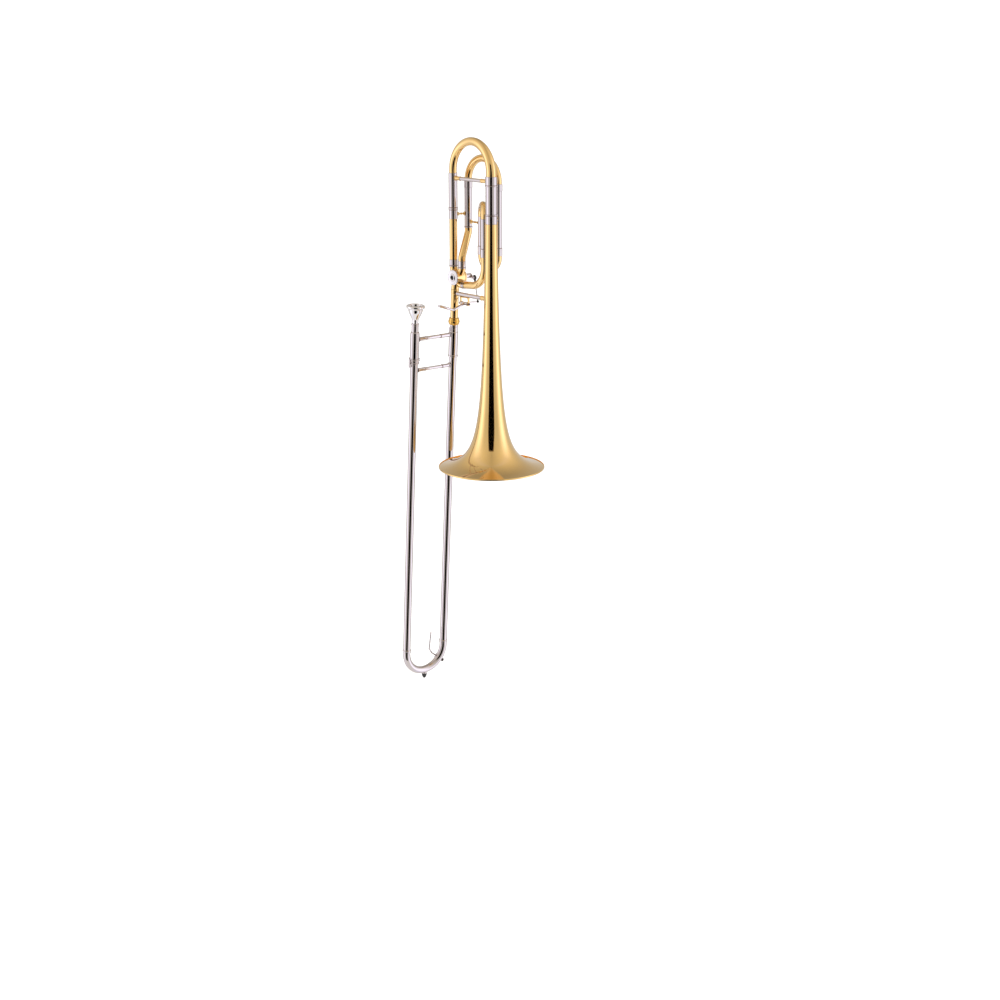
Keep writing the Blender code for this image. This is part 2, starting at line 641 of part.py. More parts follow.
def build_mouthpiece(axis):
    """The cup mouthpiece, its shank in the receiver."""
    place = axis_empty("mouthpiece_axis", (0, -SLIDE_SPACING, 0), parent=axis)
    outside = [(0.0150, 0.0435), (0.0178, 0.0425), (0.0190, 0.0400), (0.0184, 0.0378), (0.0156, 0.0362),
               (0.0148, 0.0335), (0.0139, 0.0300), (0.0124, 0.0256), (0.0104, 0.0212), (0.0084, 0.0172),
               (0.0068, 0.0137), (0.0061, 0.0100), (0.0057, -0.0055), (0.0054, -0.0250)]
    inside = [(0.0046, -0.0250), (0.0036, 0.0100), (0.0034, 0.0170), (0.0066, 0.0232), (0.0098, 0.0290),
              (0.0118, 0.0350), (0.0128, 0.0410)]
    turned("mouthpiece", outside + inside, "silver_plate", parent=place, sides=24)


def build_outer_slide(axis):
    """The outer slide: two tubes, the brace, the end bow and its rubber foot."""
    edge = OUTER_RADIUS + 2 * GAP
    for label, side in (("bell", 0), ("mouth", 1)):
        slide_tube(f"outer_tube_{label}_side", axis, side, OUTER_START, OUTER_END - GAP, OUTER_RADIUS, 0.0074,
                   "nickel_silver", (0.0092, 0.7090, OUTER_END - GAP))
    rod("outer_brace", (0, -edge, -OUTER_BRACE_L), (0, edge - SLIDE_SPACING, -OUTER_BRACE_L), 0.0037,
        "nickel_silver", 0.0050, 0.0018, axis)
    half = SLIDE_SPACING / 2
    points = bow((0, 0, -OUTER_END), (0, -SLIDE_SPACING, -OUTER_END), (0, 0, -1), END_BOW_L - OUTER_END, 14)
    bent_tube("end_bow", points, OUTER_RADIUS, "nickel_silver", axis)
    low = END_BOW_L + half + OUTER_RADIUS + GAP
    tip = low + 0.0105
    rod("bumper", (0, -half, -tip), (0, -half, -low), 0.0047, "rubber", foot=0.001, parent=axis)


def build_water_key(axis):
    """The sprung water key on the end bow: nipple, saddle, wire lever and pad."""
    half = SLIDE_SPACING / 2
    angle = math.radians(35)
    outward = Vector((0, math.cos(angle), -math.sin(angle)))
    behind = Vector((-1, 0, 0))
    middle = Vector((0, -half, -END_BOW_L)) + outward * half
    wall = OUTER_RADIUS + GAP
    tube("water_nipple", middle + outward * wall, middle + outward * (wall + 0.0018), 0.0030, 0.0018,
         "nickel_silver", axis)
    hinge = middle + behind * 0.0125
    saddle = plate("water_key_saddle", (0.0060, 0.0050, 0.0100), middle + behind * (wall + 0.0030),
                   "nickel_silver", turn=(-angle, 0, 0), bevel=0, parent=axis)
    slot = plate("water_key_slot", (0.0060, 0.0200, 0.0050), hinge, turn=(-angle, 0, 0), bevel=0, parent=axis)
    combine(saddle, [slot], "DIFFERENCE")
    seat = wall + 0.0021
    key_axis = axis_empty("water_key_axis", hinge, parent=axis)
    pad = tube("water_key_pad", middle + outward * seat, middle + outward * (seat + 0.0026), 0.0034, 0.0006,
               "cork", axis)
    top = seat + 0.0040
    tip = middle + outward * (top + 0.001)
    wire = [tip, tip + behind * 0.0060, hinge + outward * 0.0020, hinge - outward * 0.0090,
            middle - outward * 0.0165 + behind * 0.0080,
            Vector((-0.0060, -0.0380, -0.7250)), Vector((-0.0060, -0.0350, -0.6920))]
    lever = bent("water_key", route(wire, 0.004, 3), 0.0011, "nickel_silver", axis, sides=8, caps=True)
    for piece in (pad, lever):
        piece.parent = key_axis
        piece.location = piece.location - hinge


def main():
    """Build every piece of the trombone."""
    build_bell()
    build_main_tubing()
    build_main_slide()
    return_end, return_ahead = build_f_tubing()
    build_f_slides()
    build_braces()
    build_valve(return_end, return_ahead)
    build_rotor()
    build_linkage()
    build_bell_brace()
    build_lever()
    neck_frame = axis_empty("neck_frame", SLIDE_TOP, SLIDE_TURN)
    build_neck_end(neck_frame)
    hand_axis = axis_empty("hand_slide_axis", SLIDE_TOP, SLIDE_TURN)
    build_inner_slide(hand_axis)
    build_mouthpiece(hand_axis)
    outer_axis = axis_empty("outer_slide_axis", (0, 0, 0), parent=hand_axis)
    build_outer_slide(outer_axis)
    build_water_key(outer_axis)


main()
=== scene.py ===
"""Looks of a tenor trombone with an F attachment: its finishes, its fine meshes and its studio.

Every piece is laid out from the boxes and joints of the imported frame, in metres, with +Z up.
"""

import json
import logging
import math
from collections.abc import Sequence
from dataclasses import dataclass, field
from enum import Enum

import bmesh
import bpy
from mathutils import Matrix, Vector

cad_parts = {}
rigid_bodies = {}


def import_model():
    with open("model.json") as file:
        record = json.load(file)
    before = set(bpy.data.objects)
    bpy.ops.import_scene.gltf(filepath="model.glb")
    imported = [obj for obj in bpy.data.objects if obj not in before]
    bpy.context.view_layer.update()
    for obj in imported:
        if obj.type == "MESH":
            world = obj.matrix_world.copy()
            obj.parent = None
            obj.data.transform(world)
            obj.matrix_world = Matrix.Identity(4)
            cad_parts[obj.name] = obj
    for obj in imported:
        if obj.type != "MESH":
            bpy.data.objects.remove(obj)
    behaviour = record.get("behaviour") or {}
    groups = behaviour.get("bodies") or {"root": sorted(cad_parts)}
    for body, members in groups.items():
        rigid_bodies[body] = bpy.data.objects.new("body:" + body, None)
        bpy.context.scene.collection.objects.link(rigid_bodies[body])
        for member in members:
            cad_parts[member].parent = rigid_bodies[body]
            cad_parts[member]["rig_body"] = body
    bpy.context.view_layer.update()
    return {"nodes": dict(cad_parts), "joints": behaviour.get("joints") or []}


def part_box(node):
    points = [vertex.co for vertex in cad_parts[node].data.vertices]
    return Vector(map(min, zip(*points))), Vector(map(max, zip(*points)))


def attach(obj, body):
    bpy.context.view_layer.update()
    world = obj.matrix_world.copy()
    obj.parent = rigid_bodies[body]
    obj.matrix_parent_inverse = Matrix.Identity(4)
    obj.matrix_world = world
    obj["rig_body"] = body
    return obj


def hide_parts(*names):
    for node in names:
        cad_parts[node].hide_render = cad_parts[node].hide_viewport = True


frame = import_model()

LOG = logging.getLogger("trombone")
ORIGIN, UP = Vector((0, 0, 0)), Vector((0, 0, 1))
FORWARD, BACKWARD, RIGHT = Vector((0, -1, 0)), Vector((0, 1, 0)), Vector((1, 0, 0))
LINK_END = (-0.0889, 0.0390, 0.3228)

Colour = tuple[float, float, float]
Outline = list[tuple[float, float]]
Settings = dict[str, object]


class Slot(Enum):
    """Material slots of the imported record."""

    BRASS = "lacquered_brass"
    NICKEL = "nickel_silver"
    SILVER = "silver_plate"
    STEEL = "steel"
    PLASTIC = "black_plastic"
    RUBBER = "rubber"
    CORK = "cork"


class Value:
    """A number that varies over a surface, held as the output socket of a node."""

    def __init__(self, tree: bpy.types.NodeTree, socket: bpy.types.NodeSocket) -> None:
        """Wrap one output socket.

        Args:
            tree: The node tree that the socket is in.
            socket: The output socket.
        """
        self.tree = tree
        self.socket = socket

    def maths(self, operation: str, *values: "Value | float") -> "Value":
        """Add a Math node.

        Args:
            operation: The node's operation.
            values: Its inputs in order.

        Returns:
            The node's output.
        """
        node = self.tree.nodes.new("ShaderNodeMath")
        node.operation = operation
        for socket, value in zip(node.inputs, values):
            if isinstance(value, Value):
                self.tree.links.new(value.socket, socket)
            else:
                socket.default_value = value
        return Value(self.tree, node.outputs[0])

    def __add__(self, other: "Value | float") -> "Value":
        """Sum."""
        return self.maths("ADD", self, other)

    def __radd__(self, other: float) -> "Value":
        """Sum with a number on the left."""
        return self.maths("ADD", other, self)

    def __sub__(self, other: "Value | float") -> "Value":
        """Difference."""
        return self.maths("SUBTRACT", self, other)

    def __rsub__(self, other: float) -> "Value":
        """Difference from a number on the left."""
        return self.maths("SUBTRACT", other, self)

    def __mul__(self, other: "Value | float") -> "Value":
        """Product."""
        return self.maths("MULTIPLY", self, other)

    def __rmul__(self, other: float) -> "Value":
        """Product with a number on the left."""
        return self.maths("MULTIPLY", other, self)

    def __abs__(self) -> "Value":
        """Size without sign."""
        return self.maths("ABSOLUTE", self)

    def towards(self, goal: "Value | float", share: "Value") -> "Value":
        """The value moved towards a goal by a share from 0 to 1."""
        return self + (goal - self) * share

    def clamped(self, low: float, high: float) -> "Value":
        """The value held between two limits."""
        return self.maths("MINIMUM", self.maths("MAXIMUM", self, low), high)


class Graph:
    """The node tree of one material, or of the world."""

    def __init__(self, name: str, world: bpy.types.World | None = None) -> None:
        """Make an empty material, or empty a world.

        Args:
            name: The material's name.
            world: The world, when the graph is for one.
        """
        self.material = world or bpy.data.materials.new(name)
        self.material.use_nodes = True
        self.tree = self.material.node_tree
        self.tree.nodes.clear()
        self.place = self.node("ShaderNodeTexCoord", {}, {}, "Generated" if world else "Object")

    def node(self, kind: str, settings: Settings, sockets: Settings, output: str | int = 0) -> Value:
        """Add one node.

        Args:
            kind: The node's type.
            settings: Its properties; "stops" holds a ramp's (position, colour) pairs.
            sockets: Values or links of its inputs, by name or index.
            output: The output that is wanted.

        Returns:
            That output.
        """
        made = self.tree.nodes.new(kind)
        for key, value in settings.items():
            if key == "stops":
                ramp = made.color_ramp
                while len(ramp.elements) < len(value):
                    ramp.elements.new(1.0)
                for element, (position, colour) in zip(ramp.elements, value):
                    element.position = position
                    element.color = (*colour, 1.0)
            else:
                setattr(made, key, value)
        for key, value in sockets.items():
            if isinstance(value, Value):
                self.tree.links.new(value.socket, made.inputs[key])
            elif isinstance(value, tuple) and len(value) == 3 and made.inputs[key].type == "RGBA":
                made.inputs[key].default_value = (*value, 1.0)
            else:
                made.inputs[key].default_value = value
        return Value(self.tree, made.outputs[output]) if made.outputs else Value(self.tree, None)

    def stretched(self, scale: Colour) -> Value:
        """Surface coordinates multiplied by a number for each axis."""
        return self.node("ShaderNodeMapping", {}, {"Vector": self.place, "Scale": scale})

    def noise(self, where: Value, scale: float, detail: float, roughness: float = 0.5) -> Value:
        """Cloudy noise from 0 to 1 at this many cells to the metre."""
        sockets = {"Vector": where, "Scale": scale, "Detail": detail, "Roughness": roughness}
        return self.node("ShaderNodeTexNoise", {}, sockets, "Fac")

    def mixed(self, share: Value, low: Colour, high: Colour) -> Value:
        """A colour between two others, by a share from 0 to 1."""
        stops = [(0.0, low), (1.0, high)]
        return self.node("ShaderNodeValToRGB", {"stops": stops}, {"Fac": share}, "Color")

    def along(self, direction: Vector) -> Value:
        """How far the coordinates reach along a direction."""
        settings = {"operation": "DOT_PRODUCT"}
        return self.node("ShaderNodeVectorMath", settings, {0: self.place, 1: tuple(direction)}, "Value")

    def bump(self, height: Value, depth: float, strength: float = 1.0) -> Value:
        """Surface normals of a height from 0 to 1 over this depth in metres."""
        sockets = {"Height": height, "Distance": depth, "Strength": strength}
        return self.node("ShaderNodeBump", {}, sockets, "Normal")

    def shaded(self, sockets: Settings) -> bpy.types.Material:
        """Close the graph with a Principled shader.

        Args:
            sockets: Values or links of the shader's inputs.

        Returns:
            The finished material.
        """
        shader = self.node("ShaderNodeBsdfPrincipled", {}, sockets)
        self.node("ShaderNodeOutputMaterial", {}, {"Surface": shader})
        return self.material


@dataclass(frozen=True)
class PolishedMetal:
    """A buffed metal: cloudy tone, fine buffing lines, handling marks and a faint ripple."""

    name: str
    slot: Slot
    bright: Colour
    deep: Colour
    roughness: float
    wear: float = 0.05
    lines: Colour = (900.0, 900.0, 14.0)
    ripple: float = 0.000006
    coat: float = 0.0

    def material(self) -> bpy.types.Material:
        """Build the node graph."""
        graph = Graph(self.name)
        clouds = graph.noise(graph.place, 14.0, 4.0)
        stains = graph.noise(graph.place, 160.0, 6.0, 0.62)
        drawn = graph.noise(graph.stretched(self.lines), 1.0, 3.0)
        marks = graph.noise(graph.stretched((340.0, 340.0, 260.0)), 1.0, 8.0, 0.7)
        tone = (clouds * 1.5 + stains * 0.45 - 0.5).clamped(0.0, 1.0)
        smudge = ((marks - 0.52) * 3.0).clamped(0.0, 1.0)
        rough = self.roughness + drawn * (self.wear * 0.6) + smudge * self.wear
        height = drawn * 0.25 + clouds * 0.5 + stains * 0.25
        return graph.shaded(
            {
                "Base Color": graph.mixed(tone, self.deep, self.bright),
                "Metallic": 1.0,
                "Roughness": rough,
                "Coat Weight": self.coat,
                "Coat Roughness": 0.03,
                "Coat IOR": 1.8,
                "Normal": graph.bump(height, self.ripple),
            }
        )


@dataclass(frozen=True)
class SatinSteel:
    """Turned steel for pins and screws, with rings from the tool."""

    name: str = "satin_steel"
    slot: Slot = Slot.STEEL
    bright: Colour = (0.62, 0.61, 0.62)
    deep: Colour = (0.34, 0.33, 0.34)
    roughness: float = 0.24

    def material(self) -> bpy.types.Material:
        """Build the node graph."""
        graph = Graph(self.name)
        rings = graph.noise(graph.stretched((2600.0, 2600.0, 2600.0)), 1.0, 2.0)
        stains = graph.noise(graph.place, 500.0, 5.0)
        return graph.shaded(
            {
                "Base Color": graph.mixed(stains, self.deep, self.bright),
                "Metallic": 1.0,
                "Roughness": self.roughness + rings * 0.18,
                "Normal": graph.bump(rings, 0.00002),
            }
        )


@dataclass(frozen=True)
class Moulded:
    """A non-metal, such as plastic, rubber or felt, by its grain and its two tones."""

    name: str
    slot: Slot
    bright: Colour
    deep: Colour
    roughness: float
    grain: float
    depth: float

    def material(self) -> bpy.types.Material:
        """Build the node graph."""
        graph = Graph(self.name)
        cells = graph.node(
            "ShaderNodeTexVoronoi", {}, {"Vector": graph.place, "Scale": self.grain}, "Distance"
        )
        dust = graph.noise(graph.place, self.grain * 0.25, 6.0, 0.6)
        tone = (dust * 1.4 + cells * 0.5 - 0.45).clamped(0.0, 1.0)
        return graph.shaded(
            {
                "Base Color": graph.mixed(tone, self.deep, self.bright),
                "Roughness": (self.roughness + (dust - 0.5) * 0.25).clamped(0.05, 1.0),
                "Normal": graph.bump(cells + dust * 0.5, self.depth),
            }
        )


Finish = PolishedMetal | SatinSteel | Moulded

BRASS = PolishedMetal(
    "lacquered_brass", Slot.BRASS, (0.95, 0.64, 0.245), (0.91, 0.58, 0.185), 0.06, coat=0.8
)
BELL_BRASS = PolishedMetal(
    "spun_bell_brass", Slot.BRASS, (0.95, 0.635, 0.235), (0.91, 0.58, 0.18), 0.07,
    wear=0.03, lines=(40.0, 40.0, 1500.0), ripple=0.000003, coat=0.8,
)
DARK_BRASS = PolishedMetal(
    "raw_brass_nut", Slot.BRASS, (0.86, 0.54, 0.15), (0.70, 0.37, 0.07), 0.14, wear=0.12
)
NICKEL = PolishedMetal(
    "nickel_silver", Slot.NICKEL, (0.70, 0.64, 0.625), (0.63, 0.565, 0.555), 0.055
)
# painted light: a lighter copy of nickel silver, so the valve cap's face reads as brightly lit
PAINTED_LIGHT_NICKEL = PolishedMetal(
    "painted_light_nickel", Slot.NICKEL, (0.86, 0.83, 0.83), (0.78, 0.74, 0.74), 0.10
)
SILVER = PolishedMetal(
    "silver_plate", Slot.SILVER, (0.95, 0.93, 0.93), (0.88, 0.84, 0.84), 0.05,
    lines=(60.0, 60.0, 1400.0),
)
TARNISH = PolishedMetal(
    "tarnished_seam", Slot.NICKEL, (0.34, 0.20, 0.13), (0.16, 0.09, 0.07), 0.34, wear=0.15
)
STEEL = SatinSteel()
DARK_STEEL = SatinSteel("blued_steel", Slot.STEEL, (0.20, 0.14, 0.17), (0.07, 0.045, 0.06), 0.30)
PLASTIC = Moulded(
    "black_plastic", Slot.PLASTIC, (0.03, 0.03, 0.032), (0.008, 0.008, 0.009), 0.32, 2600.0, 0.00003
)
RUBBER = Moulded(
    "rubber", Slot.RUBBER, (0.035, 0.034, 0.034), (0.012, 0.012, 0.012), 0.62, 1700.0, 0.00008
)
BLACK_FELT = Moulded(
    "black_pad", Slot.CORK, (0.05, 0.045, 0.04), (0.015, 0.013, 0.012), 0.9, 1500.0, 0.0001
)


class Wardrobe:
    """The materials made so far, one for each finish."""

    made: dict[str, bpy.types.Material] = {}

    @classmethod
    def material(cls, finish: Finish) -> bpy.types.Material:
        """The material of a finish, made the first time it is asked for.

        Args:
            finish: The finish.

        Returns:
            Its material.
        """
        if finish.name not in cls.made:
            cls.made[finish.name] = finish.material()
        return cls.made[finish.name]


@dataclass(frozen=True)
class Column:
    """An upright node's place in plan, its two heights and its widest radius."""

    x: float
    y: float
    low: float
    high: float
    radius: float

    @property
    def base(self) -> Vector:
        """The point on the axis at height zero."""
        return Vector((self.x, self.y, 0.0))


class Packed:
    """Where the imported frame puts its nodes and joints."""

    @staticmethod
    def column(node: str) -> Column:
        """The upright cylinder that holds a node.

        Args:
            node: The node's name.

        Returns:
            The cylinder.
        """
        low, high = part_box(node)
        radius = (high.x - low.x) / 2
        return Column((low.x + high.x) / 2, (low.y + high.y) / 2, low.z, high.z, radius)

    @staticmethod
    def box_top(node: str) -> float:
        """The height of a node's top."""
        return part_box(node)[1].z

    @staticmethod
    def middle(node: str) -> Vector:
        """The centre of a node's box."""
        low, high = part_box(node)
        return (low + high) / 2

    @staticmethod
    def joint(name: str) -> dict:
        """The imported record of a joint."""
        return next(joint for joint in frame["joints"] if joint["name"] == name)

    @classmethod
    def pivot(cls, name: str) -> Vector:
        """The point that a joint turns about."""
        return Vector(cls.joint(name)["pos_m"])

    @classmethod
    def heading(cls, name: str) -> Vector:
        """The direction of a joint's axis."""
        return Vector(cls.joint(name)["axis"]).normalized()

    @staticmethod
    def body(node: str) -> str:
        """The body that a node belongs to."""
        return frame["nodes"][node]["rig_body"]


def softened(outline: Outline, closed: bool, edge: float) -> Outline:
    """Round an outline's corners, with a ring held beside each so that flats stay flat.

    Args:
        outline: Points as (radius, height).
        closed: Whether the last point joins the first.
        edge: Size of the rounding in metres.

    Returns:
        The longer outline.
    """
    points = [Vector(point) for point in outline]
    count = len(points)
    made: list[Vector] = []
    for index, corner in enumerate(points):
        if not closed and index in (0, count - 1):
            made.append(corner)
            continue
        before, after = points[index - 1] - corner, points[(index + 1) % count] - corner
        room = min(before.length, after.length)
        if room < 1e-7 or before.angle(after) > math.radians(165):
            made.append(corner)
            continue
        reach = min(edge, 0.35 * room)
        first, last = corner + before.normalized() * reach, corner + after.normalized() * reach
        if before.length > 4 * reach:
            made.append(corner + before.normalized() * reach * 1.8)
        made += [first, (first + 2 * corner + last) / 4, last]
        if after.length > 4 * reach:
            made.append(corner + after.normalized() * reach * 1.8)
    return [(point.x, point.y) for point in made]


def arc(
    centre: Vector, across: Vector, up: Vector, radius: float, first: float, last: float, count: int
) -> list[Vector]:
    """Points on an arc whose angle 0 lies along across and 90 along up.

    Args:
        centre: Centre of the arc.
        across: Unit vector at angle 0.
        up: Unit vector at angle 90.
        radius: Radius in metres.
        first: First angle in degrees.
        last: Last angle in degrees.
        count: Number of steps.

    Returns:
        The points in order.
    """
    angles = [math.radians(first + (last - first) * i / count) for i in range(count + 1)]
    return [centre + radius * (math.cos(a) * across + math.sin(a) * up) for a in angles]


def rounded_route(
    corners: Sequence[Vector], bend: float, steps: int = 10, share: float = 0.49
) -> list[Vector]:
    """Points along straight runs whose corners are rounded.

    Args:
        corners: The corners of the route.
        bend: Bend radius in metres.
        steps: Steps round each corner.
        share: Most of a run that a bend takes up.

    Returns:
        The points in order.
    """
    points = [corners[0].copy()]
    for before, corner, after in zip(corners, corners[1:], corners[2:]):
        back, ahead = (before - corner).normalized(), (after - corner).normalized()
        half = back.angle(ahead) / 2
        room = share * min((before - corner).length, (after - corner).length)
        reach = min(bend / math.tan(half), room)
        radius = reach * math.tan(half)
        centre = corner + (back + ahead).normalized() * radius / math.sin(half)
        start, end = corner + back * reach - centre, corner + ahead * reach - centre
        axis, angle = start.rotation_difference(end).to_axis_angle()
        points += [centre + Matrix.Rotation(angle * i / steps, 3, axis) @ start for i in range(steps + 1)]
    return points + [corners[-1].copy()]


def eased_bend(
    start: Vector, leaving: Vector, end: Vector, arriving: Vector, count: int = 16
) -> list[Vector]:
    """A smooth line that leaves and arrives along given directions.

    Args:
        start: First point.
        leaving: Direction and pull at the first point.
        end: Last point.
        arriving: Direction and pull at the last point.
        count: Number of steps.

    Returns:
        The points in order.
    """
    points = []
    for i in range(count + 1):
        t = i / count
        u = 1 - t
        points.append(
            u**3 * start + 3 * u * u * t * (start + leaving) + 3 * u * t * t * (end - arriving) + t**3 * end
        )
    return points


class Shape:
    """A mesh under construction: shells of turned, bent and flat work, each with a finish."""

    def __init__(self) -> None:
        """Start with nothing."""
        self.points: list[Vector] = []
        self.faces: list[tuple[int, ...]] = []
        self.finish_of: list[int] = []
        self.finishes: list[Finish] = []

    def add(self, points: Sequence[Vector], faces: Sequence[Sequence[int]], finish: Finish) -> None:
        """Add one shell.

        Args:
            points: Its points.
            faces: Its faces, by the points' places in the list.
            finish: Its finish.
        """
        if finish not in self.finishes:
            self.finishes.append(finish)
        first = len(self.points)
        self.points += points
        self.faces += [tuple(first + i for i in face) for face in faces]
        self.finish_of += [self.finishes.index(finish)] * len(faces)

    def rings(self, rings: list[list[Vector]], finish: Finish, closed: bool) -> None:
        """Skin a row of rings; a ring of one point closes to a tip.

        Args:
            rings: The rings, each with as many points as its neighbours, or one.
            finish: The finish.
            closed: Whether the last ring joins the first.
        """
        points: list[Vector] = []
        starts: list[int] = []
        for ring in rings:
            starts.append(len(points))
            points += ring
        faces: list[tuple[int, ...]] = []
        pairs = list(zip(range(len(rings)), range(1, len(rings))))
        if closed:
            pairs.append((len(rings) - 1, 0))
        for a, b in pairs:
            wide = max(len(rings[a]), len(rings[b]))
            for i in range(wide):
                j = (i + 1) % wide
                corners = [
                    starts[a] + i % len(rings[a]), starts[a] + j % len(rings[a]),
                    starts[b] + j % len(rings[b]), starts[b] + i % len(rings[b]),
                ]
                faces.append(tuple(dict.fromkeys(corners)))
        self.add(points, faces, finish)

    def turn(
        self,
        outline: Outline,
        finish: Finish,
        base: Vector = ORIGIN,
        along: Vector = UP,
        sides: int = 48,
        edge: float = 0.0002,
    ) -> None:
        """Turn an outline of (radius, height) about an axis; it closes on itself or on the axis.

        Args:
            outline: The outline, from end to end.
            finish: The finish.
            base: The point on the axis at height zero.
            along: Direction of the axis.
            sides: Facets round.
            edge: Rounding of the corners.
        """
        solid = outline[0][0] == 0
        smooth = softened(outline, not solid, edge)
        turn = along.to_track_quat("Z", "Y").to_matrix()
        rings = []
        angles = [2 * math.pi * i / sides for i in range(sides)]
        for radius, height in smooth:
            if radius <= 1e-9:
                rings.append([base + turn @ Vector((0, 0, height))])
                continue
            rings.append(
                [base + turn @ Vector((radius * math.cos(a), radius * math.sin(a), height)) for a in angles]
            )
        self.rings(rings, finish, not solid)

    def pipe(
        self,
        path: Sequence[Vector],
        radii: float | Sequence[float],
        finish: Finish,
        wall: float = 0.0006,
        sides: int = 40,
    ) -> None:
        """Draw a tube, or a solid wire when it has no wall, along a path.

        Args:
            path: Points of its middle line.
            radii: One radius, or one for each point.
            finish: The finish.
            wall: Thickness of the tube's wall, or 0 for a wire with rounded ends.
            sides: Facets round.
        """
        count = len(path)
        widths = list(radii) if isinstance(radii, (list, tuple)) else [radii] * count
        tangents = [(path[min(i + 1, count - 1)] - path[max(i - 1, 0)]).normalized() for i in range(count)]
        side = tangents[0].orthogonal().normalized()
        frames = []
        for tangent in tangents:
            side = (side - tangent * side.dot(tangent)).normalized()
            frames.append((side.copy(), tangent.cross(side)))

        def ring(index: int, radius: float, shift: float = 0.0) -> list[Vector]:
            """Points round the middle line at one place.

            Args:
                index: Which point of the path.
                radius: How far out they are.
                shift: How far past the point, along the path.

            Returns:
                The points in order.
            """
            across, up = frames[index]
            middle = path[index] + tangents[index] * shift
            angles = [2 * math.pi * k / sides for k in range(sides)]
            return [middle + radius * (math.cos(a) * across + math.sin(a) * up) for a in angles]

        outer = [ring(i, widths[i]) for i in range(count)]
        if wall:
            inner = [ring(i, widths[i] - wall) for i in reversed(range(count))]
            self.rings(outer + inner, finish, True)
            return
        first, last = widths[0], widths[-1]
        start = [[path[0] - tangents[0] * first * 0.6], ring(0, first * 0.6, -first * 0.45)]
        end = [ring(count - 1, last * 0.6, last * 0.45), [path[-1] + tangents[-1] * last * 0.6]]
        self.rings(start + outer + end, finish, False)

    def ribbon(
        self,
        path: Sequence[Vector],
        side: Vector,
        sizes: Sequence[tuple[float, float]],
        finish: Finish,
        power: float = 4.0,
    ) -> None:
        """Draw a flat bar with rounded edges along a path.

        Args:
            path: Points of its middle line.
            side: Direction of its width.
            sizes: Width and thickness at each point.
            finish: The finish.
            power: Squareness of the section: 2 is an ellipse.
        """
        count, steps = len(path), 24
        rings = []
        for i, (middle, (width, thick)) in enumerate(zip(path, sizes)):
            tangent = (path[min(i + 1, count - 1)] - path[max(i - 1, 0)]).normalized()
            across = (side - tangent * side.dot(tangent)).normalized()
            up = tangent.cross(across)
            ring = []
            for k in range(steps):
                a = 2 * math.pi * k / steps
                c, s = math.cos(a), math.sin(a)
                x = math.copysign(abs(c) ** (2 / power), c) * width / 2
                y = math.copysign(abs(s) ** (2 / power), s) * thick / 2
                ring.append(middle + across * x + up * y)
            rings.append(ring)
        first = [sum(rings[0], ORIGIN) / steps]
        last = [sum(rings[-1], ORIGIN) / steps]
        self.rings([first, *rings, last], finish, False)

    def plate(
        self, corners: Sequence[Vector], thickness: Vector, finish: Finish, edge: float = 0.0003
    ) -> None:
        """Add a flat plate with softened edges.

        Args:
            corners: Its outline in space.
            thickness: How far and which way it is thick.
            finish: The finish.
            edge: Rounding of its edges.
        """
        work = bmesh.new()
        low = [work.verts.new(corner) for corner in corners]
        high = [work.verts.new(corner + thickness) for corner in corners]
        work.faces.new(low)
        work.faces.new(high[::-1])
        for i in range(len(corners)):
            j = (i + 1) % len(corners)
            work.faces.new((low[i], high[i], high[j], low[j]))
        bmesh.ops.recalc_face_normals(work, faces=work.faces)
        sharp = [e for e in work.edges if e.calc_face_angle(0) > math.radians(30)]
        bmesh.ops.bevel(work, geom=sharp, offset=edge, segments=2, profile=0.5, affect="EDGES")
        work.verts.index_update()
        points = [vert.co.copy() for vert in work.verts]
        faces = [[vert.index for vert in face.verts] for face in work.faces]
        work.free()
        self.add(points, faces, finish)

    def ball(
        self, centre: Vector, radius: float, finish: Finish, along: Vector = UP, length: float = 1.0
    ) -> None:
        """Add a ball, or an egg when its length isn't 1.

        Args:
            centre: Its centre.
            radius: Its radius across.
            finish: The finish.
            along: Direction of its length.
            length: Half its length as a share of the radius.
        """
        steps = 16
        outline = [
            (radius * math.sin(math.pi * i / steps), -radius * length * math.cos(math.pi * i / steps))
            for i in range(steps + 1)
        ]
        outline[0] = (0.0, outline[0][1])
        outline[-1] = (0.0, outline[-1][1])
        self.turn(outline, finish, centre, along, sides=28, edge=0.0)

    def place(self, name: str, body: str, slot: Slot, *nodes: str) -> bpy.types.Object:
        """Turn the shells into a piece that rides on a body.

        Args:
            name: The piece's name.
            body: The body it moves with.
            slot: The record's material slot; not used.
            nodes: The nodes that it stands for.

        Returns:
            The piece.
        """
        mesh = bpy.data.meshes.new(name)
        mesh.from_pydata([tuple(point) for point in self.points], [], self.faces)
        for finish in self.finishes:
            mesh.materials.append(Wardrobe.material(finish))
        mesh.polygons.foreach_set("material_index", self.finish_of)
        work = bmesh.new()
        work.from_mesh(mesh)
        bmesh.ops.recalc_face_normals(work, faces=work.faces)
        for face in work.faces:
            face.smooth = True
        work.to_mesh(mesh)
        work.free()
        mesh.set_sharp_from_angle(angle=math.radians(42))
        made = bpy.data.objects.new(name, mesh)
        bpy.context.scene.collection.objects.link(made)
        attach(made, body)
        if nodes:
            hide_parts(*nodes)
        LOG.info("%s: %d faces on %s", name, len(mesh.polygons), body)
        return made

    def stand_for(self, node: str, slot: Slot) -> bpy.types.Object:
        """Place the piece in a node's stead, under the node's name with _fine after it."""
        return self.place(f"{node}_fine", Packed.body(node), slot, node)


def tube_outline(outer: float, inner: float, low: float, high: float) -> Outline:
    """The outline of a plain tube."""
    return [(outer, high), (outer, low), (inner, low), (inner, high)]


